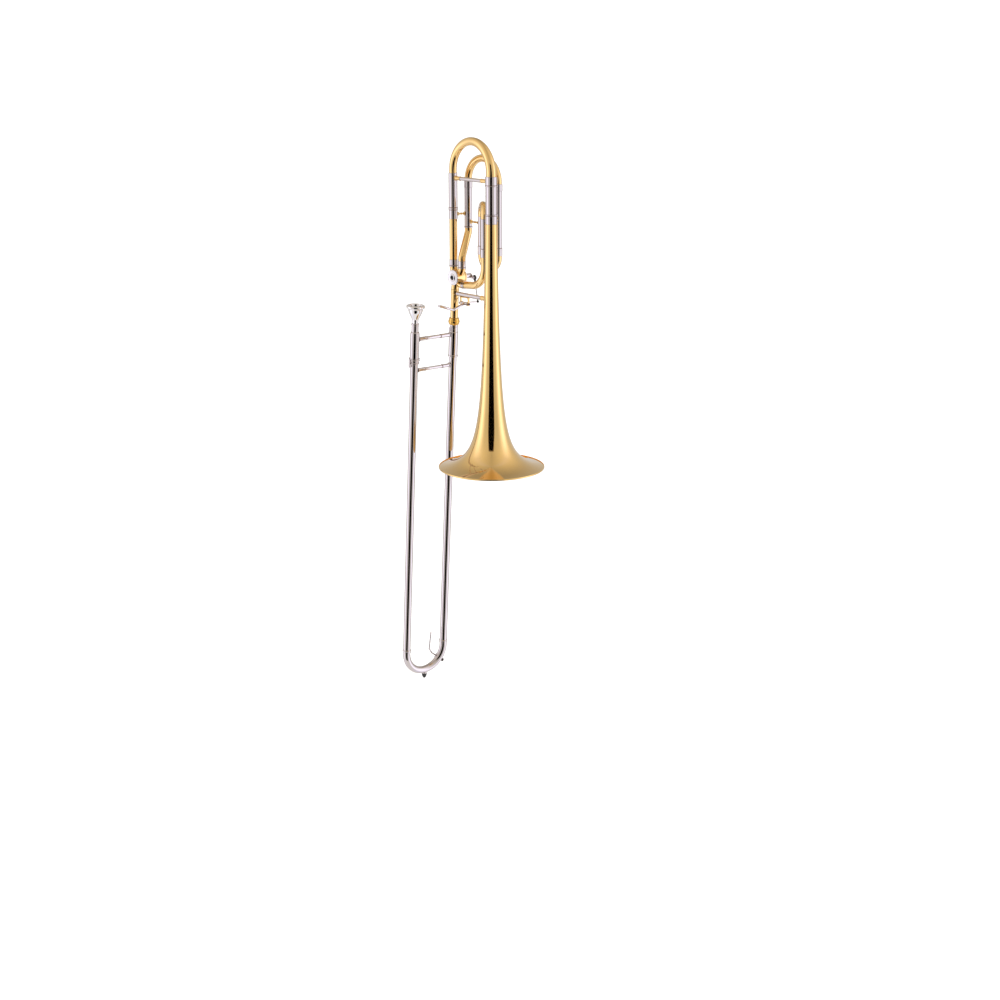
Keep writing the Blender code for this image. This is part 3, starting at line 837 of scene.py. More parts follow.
@dataclass
class Studio:
    """The camera, the pale floor, the lamps and the dark gap that the camera looks through."""

    eye: Vector = field(default_factory=lambda: Vector((2.4668, -2.0858, 0.8635)))
    look: Vector = field(default_factory=lambda: Vector((-0.7302, 0.6241, -0.2780)))
    lens: float = 59.05
    floor_level: float = -0.672
    floor_size: float = 30.0
    gap_distance: float = 1.9
    gap_edges: tuple[tuple[float, float, float], ...] = (
        (-2.40, -0.95, 0.95), (-0.30, -0.95, 0.92), (0.35, -0.78, 0.66),
        (0.80, -0.60, 0.44), (1.38, -0.46, 0.30),
    )
    border: float = 0.11
    border_light: float = 0.26
    border_colour: Colour = (1.0, 0.80, 0.66)
    floor_light: float = 1.35
    wall_light: float = 0.64
    box_light: float = 0.98
    box_turn: float = 83.0
    box_spread: float = 21.5
    ceiling_light: float = 0.52
    ceiling_sides: float = 0.50
    ceiling_back: float = 0.30
    floor_seen: float = 0.90
    ceiling_slope: float = 1.6
    ceiling_start: float = 0.16
    floor_slope: float = 3.0
    floor_start: float = 1.3
    wall_colour: Colour = (1.0, 0.98, 0.96)
    box_colour: Colour = (1.0, 1.0, 1.16)
    ceiling_colour: Colour = (1.0, 0.94, 0.82)
    lamp_size: float = 2.0
    lamp_power: float = 30.0
    lamp_turn: float = -40.0
    lamp_height: float = 1.6
    lamp_reach: float = 2.5

    def build(self) -> None:
        """Set up the whole studio."""
        bpy.context.scene.view_settings.view_transform = "Standard"
        self.camera()
        self.floor()
        self.surroundings()
        self.dark_gap()
        self.lamps()

    @property
    def facing(self) -> Vector:
        """Level direction from the object to the camera."""
        return Vector((self.eye.x, self.eye.y, 0)).normalized()

    @property
    def rightward(self) -> Vector:
        """Level direction to the camera's right."""
        return UP.cross(self.facing)

    def camera(self) -> None:
        """Place the camera."""
        data = bpy.data.cameras.new("studio_camera")
        data.lens = self.lens
        data.sensor_width = 36.0
        data.clip_end = 100.0
        made = bpy.data.objects.new("studio_camera", data)
        bpy.context.scene.collection.objects.link(made)
        made.location = self.eye
        made.rotation_euler = self.look.to_track_quat("-Z", "Y").to_euler()
        bpy.context.scene.camera = made

    def stage_sheet(
        self, name: str, points: Sequence[Vector], material: bpy.types.Material
    ) -> bpy.types.Object:
        """A flat sheet that belongs to the studio.

        Args:
            name: The sheet's name.
            points: Its corners in order.
            material: Its material.

        Returns:
            The sheet.
        """
        mesh = bpy.data.meshes.new(name)
        mesh.from_pydata([tuple(point) for point in points], [], [tuple(range(len(points)))])
        mesh.materials.append(material)
        made = bpy.data.objects.new(name, mesh)
        bpy.context.scene.collection.objects.link(made)
        return made

    def floor(self) -> None:
        """Lay the pale floor; polished metal sees past it."""
        graph = Graph("pale_floor")
        grain = graph.noise(graph.place, 30.0, 3.0)
        paint = graph.mixed(grain, (0.97, 0.97, 0.97), (1.0, 1.0, 1.0))
        material = graph.shaded({"Base Color": paint, "Roughness": 0.9})
        half, level = self.floor_size / 2, self.floor_level
        corners = [Vector((x * half, y * half, level)) for x, y in ((-1, -1), (1, -1), (1, 1), (-1, 1))]
        made = self.stage_sheet("studio_floor", corners, material)
        made.visible_glossy = False
        made.visible_diffuse = False

    def surroundings(self) -> None:
        """Light the room: white for the eye and the floor, walls with two tall soft boxes for the metal."""
        world = bpy.data.worlds.new("white_room")
        bpy.context.scene.world = world
        graph = Graph("white_room", world)
        right, front, rise = (graph.along(way) for way in (self.rightward, self.facing, UP))
        turn = abs(right.maths("ARCTAN2", right, front))
        off = (turn - math.radians(self.box_turn)) * (1 / math.radians(self.box_spread))
        box = off.maths("EXPONENT", off * off * -1.0)
        overhead = (rise * self.ceiling_slope - self.ceiling_start).clamped(0.0, 1.0)
        below = (rise * -self.floor_slope - self.floor_start).clamped(0.0, 1.0)
        ceiling = self.ceiling_light + abs(right) * self.ceiling_sides
        ceiling = ceiling + front.clamped(-1.0, 0.0) * self.ceiling_back
        walls = (self.wall_light + box * self.box_light).towards(ceiling, overhead)
        metal = walls.towards(self.floor_seen, below)
        path = graph.node("ShaderNodeLightPath", {}, {}, "Is Glossy Ray")
        strength = self.floor_light + path * (metal - self.floor_light)
        tint = graph.mixed(box * path, self.wall_colour, self.box_colour)
        warmth = graph.mixed(overhead * path, (1.0, 1.0, 1.0), self.ceiling_colour)
        tint = graph.node("ShaderNodeVectorMath", {"operation": "MULTIPLY"}, {0: tint, 1: warmth})
        shader = graph.node("ShaderNodeBackground", {}, {"Color": tint, "Strength": strength})
        graph.node("ShaderNodeOutputWorld", {}, {"Surface": shader})

    def dark_gap(self) -> None:
        """Stand the dark gap between two screens, with dim borders, seen only in reflections."""
        graph = Graph("dark_gap")
        dark = graph.shaded({"Base Color": (0.0, 0.0, 0.0), "Roughness": 1.0, "Specular IOR Level": 0.0})
        graph = Graph("dim_border")
        glow = {"Emission Color": self.border_colour, "Emission Strength": self.border_light}
        dim = graph.shaded({"Base Color": (0.0, 0.0, 0.0), "Roughness": 1.0, "Specular IOR Level": 0.0, **glow})
        sheets = (("dark_gap", dark, 0.0, 0.0), ("dim_border", dim, 0.02, self.border))
        for name, material, depth, margin in sheets:
            middle = self.facing * (self.gap_distance + depth)
            left = [middle + self.rightward * (near - margin) + UP * z for z, near, _ in self.gap_edges]
            right = [middle + self.rightward * (far + margin) + UP * z for z, _, far in self.gap_edges[::-1]]
            left[-1].z += margin
            right[0].z += margin
            made = self.stage_sheet(name, left + right, material)
            for ray in ("camera", "diffuse", "transmission", "volume_scatter", "shadow"):
                setattr(made, f"visible_{ray}", False)

    def lamps(self) -> None:
        """Hang one large soft lamp for the rubber, the plastic and the felt."""
        data = bpy.data.lights.new("soft_lamp", "AREA")
        data.size, data.energy = self.lamp_size, self.lamp_power
        made = bpy.data.objects.new("soft_lamp", data)
        bpy.context.scene.collection.objects.link(made)
        turned = Matrix.Rotation(math.radians(self.lamp_turn), 3, "Z") @ self.facing
        made.location = turned * self.lamp_reach + UP * self.lamp_height
        made.rotation_euler = (-made.location).to_track_quat("-Z", "Y").to_euler()
        made.visible_glossy = False


@dataclass
class Bell:
    """The spun bell with its flare and rolled rim."""

    throat: float = 0.0125
    power: float = 0.6
    wall: float = 0.0008
    bead: float = 0.002
    rings: int = 110
    sides: int = 180
    gather: float = 2.4

    def radius(self, z: float) -> float:
        """Outer radius at a height above the rim."""
        return Packed.column("bell").radius * (self.throat / (z + self.throat)) ** self.power

    def build(self) -> None:
        """Spin the bell."""
        column = Packed.column("bell")
        heights = [column.high * (1 - i / self.rings) ** self.gather for i in range(self.rings)]
        outer = [(self.radius(z), z) for z in heights]
        inner = []
        for radius, z in outer:
            slope = (self.radius(z + 1e-4) - self.radius(z)) / 1e-4
            scale = self.wall / math.hypot(1, slope)
            inner.append((radius - scale, z + slope * scale))
        middle = column.radius - self.bead
        angles = [math.radians(52 - i * 18) for i in range(11)]
        bead = [(middle + self.bead * math.cos(a), self.bead * math.sin(a)) for a in angles]
        shape = Shape()
        outline = outer + bead + inner[:0:-1] + [(inner[0][0], column.high)]
        shape.turn(outline, BELL_BRASS, sides=self.sides, edge=0.0)
        shape.stand_for("bell", Slot.BRASS)


@dataclass
class Ferrules:
    """Nickel sleeves and ferrules of the bell section, with their grooves and beads."""

    bead: float = 0.0006
    bead_height: float = 0.0016
    collar_step: float = 0.0006
    leg_collar_step: float = 0.0017

    def ferrule(
        self, node: str, bore: float, top_bead: bool, low_bead: bool, radius: float = 0.0
    ) -> None:
        """A ferrule with a bead at one end or both.

        Args:
            node: The node that it stands for.
            bore: Its inner radius.
            top_bead: Whether its top has a bead.
            low_bead: Whether its foot has a bead.
            radius: Its outer radius, or the node's own.
        """
        column = Packed.column(node)
        wide = radius or column.radius
        slim, tall = wide - self.bead, self.bead_height
        outline = []
        if top_bead:
            outline += [(wide, column.high), (wide, column.high - tall), (slim, column.high - tall - 0.0004)]
        else:
            outline += [(slim, column.high)]
        if low_bead:
            outline += [(slim, column.low + tall + 0.0004), (wide, column.low + tall), (wide, column.low)]
        else:
            outline += [(slim, column.low)]
        outline += [(bore, column.low), (bore, column.high)]
        shape = Shape()
        shape.turn(outline, NICKEL, column.base)
        if top_bead:
            self.seam(shape, column, slim, column.high - tall - 0.0008)
        if low_bead:
            self.seam(shape, column, slim, column.low + tall + 0.0008)
        shape.stand_for(node, Slot.NICKEL)

    @staticmethod
    def seam(shape: Shape, column: Column, radius: float, level: float) -> None:
        """A dark line of old solder round a column.

        Args:
            shape: The mesh that it joins.
            column: The tube that it runs round.
            radius: The tube's outer radius there.
            level: Its height.
        """
        half, lip = 0.0005, 0.00015
        outline = tube_outline(radius + lip, radius - 0.0003, level - half, level + half)
        shape.turn(outline, TARNISH, column.base, edge=0.00005)

    def plain(
        self, node: str, bore: float, finish: PolishedMetal, collar: tuple[float, float] | None = None
    ) -> None:
        """A plain tube, with a collar over a stretch of it when wanted.

        Args:
            node: The node that it stands for.
            bore: Its inner radius.
            finish: The finish.
            collar: Lowest and highest level of the collar; the node's radius is then the collar's.
        """
        column = Packed.column(node)
        outline = tube_outline(column.radius, bore, column.low, column.high)
        if collar:
            low, high = collar
            step = self.leg_collar_step if node.startswith("f_inner_leg") else self.collar_step
            slim = column.radius - step
            outer = [(slim, column.high)] if high < column.high - 1e-5 else []
            outer += [(slim, high + 0.0003)] if outer else []
            outer += [(column.radius, high), (column.radius, low)]
            if low > column.low + 1e-5:
                outer += [(slim, low - 0.0003), (slim, column.low)]
            outline = outer + [(bore, column.low), (bore, column.high)]
        shape = Shape()
        shape.turn(outline, finish, column.base)
        if collar and high < column.high - 1e-5:
            self.seam(shape, column, slim, high + 0.0008)
        shape.stand_for(node, finish.slot)

    def build(self) -> None:
        """Turn every sleeve and ferrule of the bell section and its slides."""
        self.ferrule("bell_ferrule", 0.0106, True, False)
        self.plain("main_sleeve", 0.0106, NICKEL)
        self.ferrule("main_bow_ferrule", 0.0106, False, True)
        self.plain("main_inner_leg", 0.0096, NICKEL)
        bow_sleeve = Packed.column("main_bow_sleeve")
        self.plain("main_bow_sleeve", 0.0083, NICKEL, (bow_sleeve.low, bow_sleeve.low + 0.0015))
        self.plain("neck_inner_leg", 0.0074, NICKEL)
        self.ferrule("neck_upper_ferrule", 0.0083, True, False)
        self.plain("neck_pipe", 0.0074, BRASS)
        self.ferrule("neck_lower_ferrule", 0.0074, False, True)
        self.ferrule("f_port_ferrule", 0.0069, False, True)
        for node, high in (("f_sleeve_a", 0.0020), ("f_sleeve_b", 0.0145)):
            column = Packed.column(node)
            self.plain(node, 0.0072, NICKEL, (column.low, column.low + high))
        for node in ("small_sleeve_far", "small_sleeve_near"):
            column = Packed.column(node)
            self.plain(node, 0.0072, NICKEL, (column.low, column.low + 0.0163))
        for node in ("f_inner_leg_a", "f_inner_leg_b"):
            column = Packed.column(node)
            self.plain(node, 0.0064, NICKEL, (Packed.column("f_sleeve_a").high + 0.0003, column.high))
        for node in ("small_inner_leg_far", "small_inner_leg_near"):
            self.plain(node, 0.0064, NICKEL)


@dataclass
class Bows:
    """The brass bows and the bent tubes between them."""

    f_radius: float = 0.0075
    main_foot: float = 0.0052
    crook_level: float = 0.4217
    ferrule_outline: tuple[tuple[float, float], ...] = (
        (0.0082, 0.0088), (0.0082, 0.0074), (0.0078, 0.0070), (0.0078, 0.0018),
        (0.0082, 0.0014), (0.0082, 0.0003), (0.0069, 0.0003), (0.0069, 0.0088),
    )
    steps: int = 48

    @staticmethod
    def half_turn(first: Vector, last: Vector, ahead: Vector, foot: float, steps: int) -> list[Vector]:
        """The middle line of a bow from one tube's end to the next.

        Args:
            first: The end that it starts from.
            last: The end that it runs to.
            ahead: Unit vector that the tubes point along.
            foot: Length of the straight stretch before the turn.
            steps: Steps round the turn.

        Returns:
            The points in order.
        """
        across = (first - last).normalized()
        centre = (first + last) / 2 + ahead * foot
        return [first, *arc(centre, across, ahead, (first - last).length / 2, 0, 180, steps), last]

    def main_bow(self) -> None:
        """The large bow, which widens from the neck to the bell."""
        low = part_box("main_bow")[0]
        column = Packed.column("main_bow_ferrule")
        neck = Packed.column("main_bow_sleeve")
        first, last = Vector((neck.x, 0, low.z)), Vector((column.x, 0, low.z))
        path = self.half_turn(first, last, UP, self.main_foot, self.steps)
        count = len(path) - 1
        widths = []
        for i in range(count + 1):
            share = 2 * i / count
            widths.append(0.0076 + 0.0006 * min(share, 1) + 0.0021 * max(0.0, share - 1))
        shape = Shape()
        shape.pipe(path, widths, BRASS, wall=0.0007, sides=56)
        shape.stand_for("main_bow", Slot.BRASS)

    def bow(self, node: str, first: Column, last: Column, turn_down: bool = False) -> None:
        """A bow of the F tubing.

        Args:
            node: The node that it stands for.
            first: The leg that it starts on.
            last: The leg that it ends on.
            turn_down: Whether it hangs below the legs.
        """
        low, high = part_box(node)
        ahead = Vector((0, 0, -1 if turn_down else 1))
        level = self.crook_level if turn_down else low.z
        start, end = Vector((first.x, first.y, level)), Vector((last.x, last.y, level))
        path = self.half_turn(start, end, ahead, 0.001, self.steps)
        if turn_down:
            path[0] = Vector((first.x, first.y, high.z))
        shape = Shape()
        shape.pipe(path, self.f_radius, BRASS)
        shape.stand_for(node, Slot.BRASS)

    def entry(self) -> None:
        """The tube that leans from the valve's port to the F slide."""
        low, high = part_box("f_entry_tube")
        port, leg = Packed.column("f_port_ferrule"), Packed.column("f_sleeve_a")
        corners = [
            Vector((port.x, port.y, low.z)), Vector((port.x, port.y, 0.4145)),
            Vector((leg.x, leg.y, 0.4640)), Vector((leg.x, leg.y, high.z)),
        ]
        shape = Shape()
        shape.pipe(rounded_route(corners, 0.026, 14), self.f_radius, BRASS)
        shape.stand_for("f_entry_tube", Slot.BRASS)

    def way_back(self) -> None:
        """The tube that brings the F tubing back to the valve, and its ferrule."""
        leg = Packed.column("small_sleeve_near")
        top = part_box("return_tube")[1].z
        start, corner = Vector((leg.x, leg.y, top)), Vector((leg.x, leg.y, 0.3645))
        end = Valve().way_in
        shape = Shape()
        shape.pipe(rounded_route([start, corner, end], 0.040, 24, 0.9), self.f_radius, BRASS)
        shape.stand_for("return_tube", Slot.BRASS)
        ahead = (end - corner).normalized()
        shape = Shape()
        shape.turn(list(self.ferrule_outline), NICKEL, end, ahead)
        shape.stand_for("return_ferrule", Slot.NICKEL)

    def build(self) -> None:
        """Bend every bow."""
        self.main_bow()
        self.bow("f_bow", Packed.column("f_sleeve_a"), Packed.column("f_sleeve_b"))
        self.bow("small_bow", Packed.column("small_sleeve_far"), Packed.column("small_sleeve_near"))
        self.bow("f_crook", Packed.column("f_sleeve_b"), Packed.column("small_sleeve_far"), True)
        self.entry()
        self.way_back()


@dataclass
class Braces:
    """The stays of the bell section: brass sockets with flanges, and nickel rods."""

    rod: float = 0.0037
    socket: float = 0.0044
    flange: float = 0.0050

    def long_brace(self, node: str, first: Vector, last: Vector, sockets: tuple[float, float]) -> None:
        """A nickel rod with a brass socket where wanted at its ends.

        Args:
            node: The node that it stands for.
            first: One end.
            last: The other end.
            sockets: Length of the first socket and of the last, or 0 for none.
        """
        ahead = (last - first).normalized()
        length = (last - first).length
        shape = Shape()
        for at, way, socket in ((first, ahead, sockets[0]), (last, -ahead, sockets[1])):
            if socket:
                self.foot(shape, at, way, socket)
            else:
                lip = self.rod + 0.0004
                shape.turn([(0.0, 0.0030), (lip, 0.0030), (lip, 0.0), (0.0, 0.0)], NICKEL, at, way)
        rod = [(0.0, length - 0.0006), (self.rod, length - 0.0006), (self.rod, 0.0006), (0.0, 0.0006)]
        shape.turn(rod, NICKEL, first, ahead)
        shape.stand_for(node, Slot.NICKEL)

    def foot(self, shape: Shape, at: Vector, ahead: Vector, socket: float) -> None:
        """A brass socket with a thin foot, a bead at its mouth and a dark seam at the rod.

        Args:
            shape: The mesh that it joins.
            at: Middle of its foot.
            ahead: Unit vector along the brace.
            socket: Its length.
        """
        r = self.socket
        outline = [
            (0.0, socket), (r - 0.0003, socket), (r, socket - 0.0005), (r, socket - 0.0018),
            (r - 0.0004, socket - 0.0023), (r - 0.0004, 0.0020), (r, 0.0012), (self.flange, 0.0007),
            (self.flange, 0.0), (0.0, 0.0),
        ]
        shape.turn(outline, BRASS, at, ahead, edge=0.00015)
        low, high, lip = socket, socket + 0.0005, self.rod + 0.0002
        seam = [(self.rod, high), (lip, high), (lip, low), (self.rod, low)]
        shape.turn(seam, TARNISH, at, ahead)

    def stay(self, node: str, first: Vector, last: Vector) -> None:
        """A short brass stay that narrows between its two flanges.

        Args:
            node: The node that it stands for.
            first: One end.
            last: The other end.
        """
        length = (last - first).length
        outline = [
            (0.0, length), (0.0040, length), (0.0040, length - 0.0009), (0.0024, length - 0.0016),
            (0.0018, length * 0.68), (0.0022, length * 0.56), (0.0022, length * 0.44),
            (0.0018, length * 0.32), (0.0024, 0.0016), (0.0040, 0.0009), (0.0040, 0.0), (0.0, 0.0),
        ]
        shape = Shape()
        shape.turn(outline, BRASS, first, last - first, sides=32, edge=0.00012)
        shape.stand_for(node, Slot.BRASS)

    def build(self) -> None:
        """Make the braces and stays."""
        low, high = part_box("main_brace")
        level = (low.z + high.z) / 2
        first, last = Vector((low.x, 0, level)), Vector((high.x, 0, level))
        self.long_brace("main_brace", first, last, (0.0150, 0.0165))
        low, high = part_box("bell_brace")
        level = (low.z + high.z) / 2
        first, last = Vector((low.x, 0, level)), Vector((high.x, 0, level))
        Braces(0.0042, 0.0050, 0.0056).long_brace("bell_brace", first, last, (0.0, 0.0150))
        pairs = (
            ("neck_stay", "neck_upper_ferrule", "f_sleeve_a"),
            ("f_stay", "f_sleeve_a", "small_sleeve_far"),
            ("bell_stay", "bell_ferrule", "f_sleeve_b"),
        )
        for node, first_tube, last_tube in pairs:
            first, last = Packed.column(first_tube), Packed.column(last_tube)
            level = Packed.middle(node).z
            start, end = Vector((first.x, first.y, level)), Vector((last.x, last.y, level))
            ahead = (end - start).normalized()
            middle = Packed.middle(node)
            low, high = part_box(node)
            flange = Vector((abs(ahead.y), abs(ahead.x), 0)) * 0.0040
            span = Vector((high.x - low.x - 2 * flange.x, high.y - low.y - 2 * flange.y, 0)).length
            self.stay(node, middle - ahead * span / 2, middle + ahead * span / 2)


@dataclass
class Valve:
    """The rotary valve: casing, knuckles, cap, bearing plate, stop arm and link."""

    casing: float = 0.0142
    knurls: int = 60
    rim: float = 0.0148
    bore: float = 0.0121
    half: float = 0.0115
    knuckle: float = 0.0080
    side_knuckle: float = 0.0075
    link_end: Vector = field(default_factory=lambda: Vector(LINK_END))
    way_in: Vector = field(default_factory=lambda: Vector((-0.0863, 0.0060, 0.3600)))
    way_ahead: Vector = field(
        default_factory=lambda: Vector((-0.0599, 0.0010, -0.0045)).normalized()
    )

    @property
    def centre(self) -> Vector:
        """Middle of the rotor."""
        return Packed.pivot("rotor_turn")

    def body(self) -> None:
        """The casing barrel and the four knuckles that run into it."""
        half = self.half
        shape = Shape()
        outline = [
            (self.bore, half), (self.rim, half), (self.rim, half - 0.0020), (self.casing, half - 0.0027),
            (self.casing, 0.0027 - half), (self.rim, 0.0020 - half), (self.rim, -half), (self.bore, -half),
        ]
        shape.turn(outline, BRASS, self.centre, BACKWARD, sides=72)
        neck, port = Packed.column("neck_pipe"), Packed.column("f_port_ferrule")
        lean = Packed.heading("nut_turn")
        top = Packed.box_top("valve_casing")
        knuckles = (
            (
                Vector((neck.x, neck.y, top)), Vector((0, 0, -0.006)),
                Vector((-0.0070, -0.0005, 0.0070)), Vector((0.002, 0, -0.004)), self.knuckle,
            ),
            (
                Vector((port.x, port.y, port.low - 0.0003)), Vector((0, 0, -0.004)),
                Vector((0.0070, 0.0008, 0.0070)), Vector((-0.001, 0, -0.004)), self.side_knuckle,
            ),
            (
                Packed.pivot("nut_turn") - lean * 0.0665, -lean * 0.006,
                Vector((-0.0035, -0.0005, -0.0080)), Vector((0.001, 0.001, 0.004)), self.knuckle,
            ),
            (
                self.way_in + self.way_ahead * 0.0091, self.way_ahead * 0.004,
                Vector((0.0030, 0.0010, -0.0100)), Vector((-0.003, 0, 0.004)), self.side_knuckle,
            ),
        )
        for start, leaving, into, arriving, radius in knuckles:
            shape.pipe(eased_bend(start, leaving, self.centre + into, arriving), radius, BRASS)
        shape.stand_for("valve_casing", Slot.BRASS)

    def cap(self) -> None:
        """The screwed front cap: a knurled edge, a raised ring and a round opening floored with a black disc of
        painted shade.
        """
        front = self.centre - Vector((0, self.half + 0.0003, 0))
        shape = Shape()
        outline = [
            (0.0046, 0.0), (0.0154, 0.0), (0.0154, 0.0018), (0.0149, 0.0026), (0.0138, 0.0029),
            (0.0130, 0.0024), (0.0084, 0.0022), (0.0076, 0.0034), (0.0066, 0.0042), (0.0054, 0.0042),
            (0.0046, 0.0034),
        ]
        # painted light: the cap takes the lighter nickel copy so its face looks brightly lit
        shape.turn(outline, PAINTED_LIGHT_NICKEL, front, FORWARD, sides=72, edge=0.00025)
        # painted shade: a black disc fills the opening and stands in for its shadowed depth
        painted_shade_disc = [(0.0, 0.0005), (0.0046, 0.0004), (0.0046, 0.0), (0.0, 0.0)]
        shape.turn(painted_shade_disc, PLASTIC, front, FORWARD, sides=40)
        for i in range(self.knurls):
            a = 2 * math.pi * i / self.knurls
            spoke = Vector((math.cos(a), 0, math.sin(a)))
            foot = front + spoke * 0.0151
            ridge = [foot + FORWARD * 0.0004, foot + FORWARD * 0.0016]
            shape.pipe(ridge, 0.00042, NICKEL, wall=0, sides=6)
        shape.stand_for("valve_cap", Slot.NICKEL)

    def plate(self) -> None:
        """The bearing plate with its boss and its two screws."""
        back = self.centre + Vector((0, self.half + 0.0003, 0))
        shape = Shape()
        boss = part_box("bearing_plate")[1].y - back.y
        outline = [
            (0.0031, 0.0), (0.0138, 0.0), (0.0138, 0.0012), (0.0130, 0.0017), (0.0074, 0.0018),
            (0.0068, 0.0056), (0.0062, 0.0064), (0.0050, 0.0068), (0.0050, boss - 0.0030),
            (0.0046, boss - 0.0026), (0.0046, boss), (0.0031, boss),
        ]
        shape.turn(outline, NICKEL, back, BACKWARD, sides=64)
        head = [(0.0, 0.0009), (0.0010, 0.0009), (0.0017, 0.0005), (0.0018, 0.0), (0.0, 0.0)]
        for angle in (100.0, 250.0):
            a = math.radians(angle)
            spot = back + Vector((math.cos(a), 0, math.sin(a))) * 0.0102 + BACKWARD * 0.0015
            shape.turn(head, STEEL, spot, BACKWARD, sides=24)
        shape.stand_for("bearing_plate", Slot.NICKEL)

    def arm(self) -> None:
        """The stop arm and the screw that holds it, whose slot is drawn as a black plate of painted shade."""
        ball = Packed.pivot("link_swing")
        low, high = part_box("stop_arm")
        level, thick = low.y, high.y - low.y
        aim = Vector((ball.x - self.centre.x, 0, ball.z - self.centre.z))
        reach = aim.length
        aim.normalize()
        up = Vector((-aim.z, 0, aim.x))
        hub = Vector((self.centre.x, level, self.centre.z))
        corners = arc(hub, aim, up, 0.0055, 55, 305, 25)
        corners += arc(hub + aim * reach, aim, up, 0.0030, -70, 70, 10)
        shape = Shape()
        shape.plate(corners, BACKWARD * thick, NICKEL, 0.0002)
        shape.stand_for("stop_arm", Slot.NICKEL)
        screw = Shape()
        foot = Vector((self.centre.x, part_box("stop_arm_screw")[0].y, self.centre.z))
        head = [
            (0.0, 0.0022), (0.0030, 0.0021), (0.0040, 0.0014), (0.0042, 0.0004), (0.0040, 0.0), (0.0, 0.0),
        ]
        screw.turn(head, STEEL, foot, BACKWARD, sides=40)
        # painted shade: the screw's slot is a thin black plate laid on the head, standing in for the shadowed
        # groove
        ends = ((-0.0034, -0.00035), (0.0034, -0.00035), (0.0034, 0.00035), (-0.0034, 0.00035))
        slot = [foot + Vector((x, 0.00205, z)) for x, z in ends]
        screw.plate(slot, BACKWARD * 0.00012, PLASTIC, 0.00003)
        screw.stand_for("stop_arm_screw", Slot.STEEL)

    def link(self) -> None:
        """The link rod with a ball socket at each end."""
        upper = Packed.pivot("link_swing")
        lower = self.link_end
        ahead = (lower - upper).normalized()
        shape = Shape()
        shape.ball(upper, 0.0040, PLASTIC, ahead, 1.4)
        shape.ball(lower, 0.0027, PLASTIC, ahead, 1.0)
        shape.pipe([upper, lower], 0.0011, STEEL, wall=0, sides=20)
        necks = ((upper, 1.0, 0.0021, 0.0135), (lower, -1.0, 0.0015, 0.0060))
        for spot, way, wide, long in necks:
            shape.turn(
                [(0.0, long), (wide * 0.75, long - 0.0003), (wide, long - 0.0015), (wide, 0.0), (0.0, 0.0)],
                PLASTIC, spot, ahead * way, sides=24,
            )
        shape.stand_for("link_rod", Slot.PLASTIC)

    def build(self) -> None:
        """Make the valve."""
        self.body()
        self.cap()
        self.plate()
        self.arm()
        self.link()
        rotor = frame["nodes"]["rotor"]
        rotor.data.materials.clear()
        rotor.data.materials.append(Wardrobe.material(NICKEL))


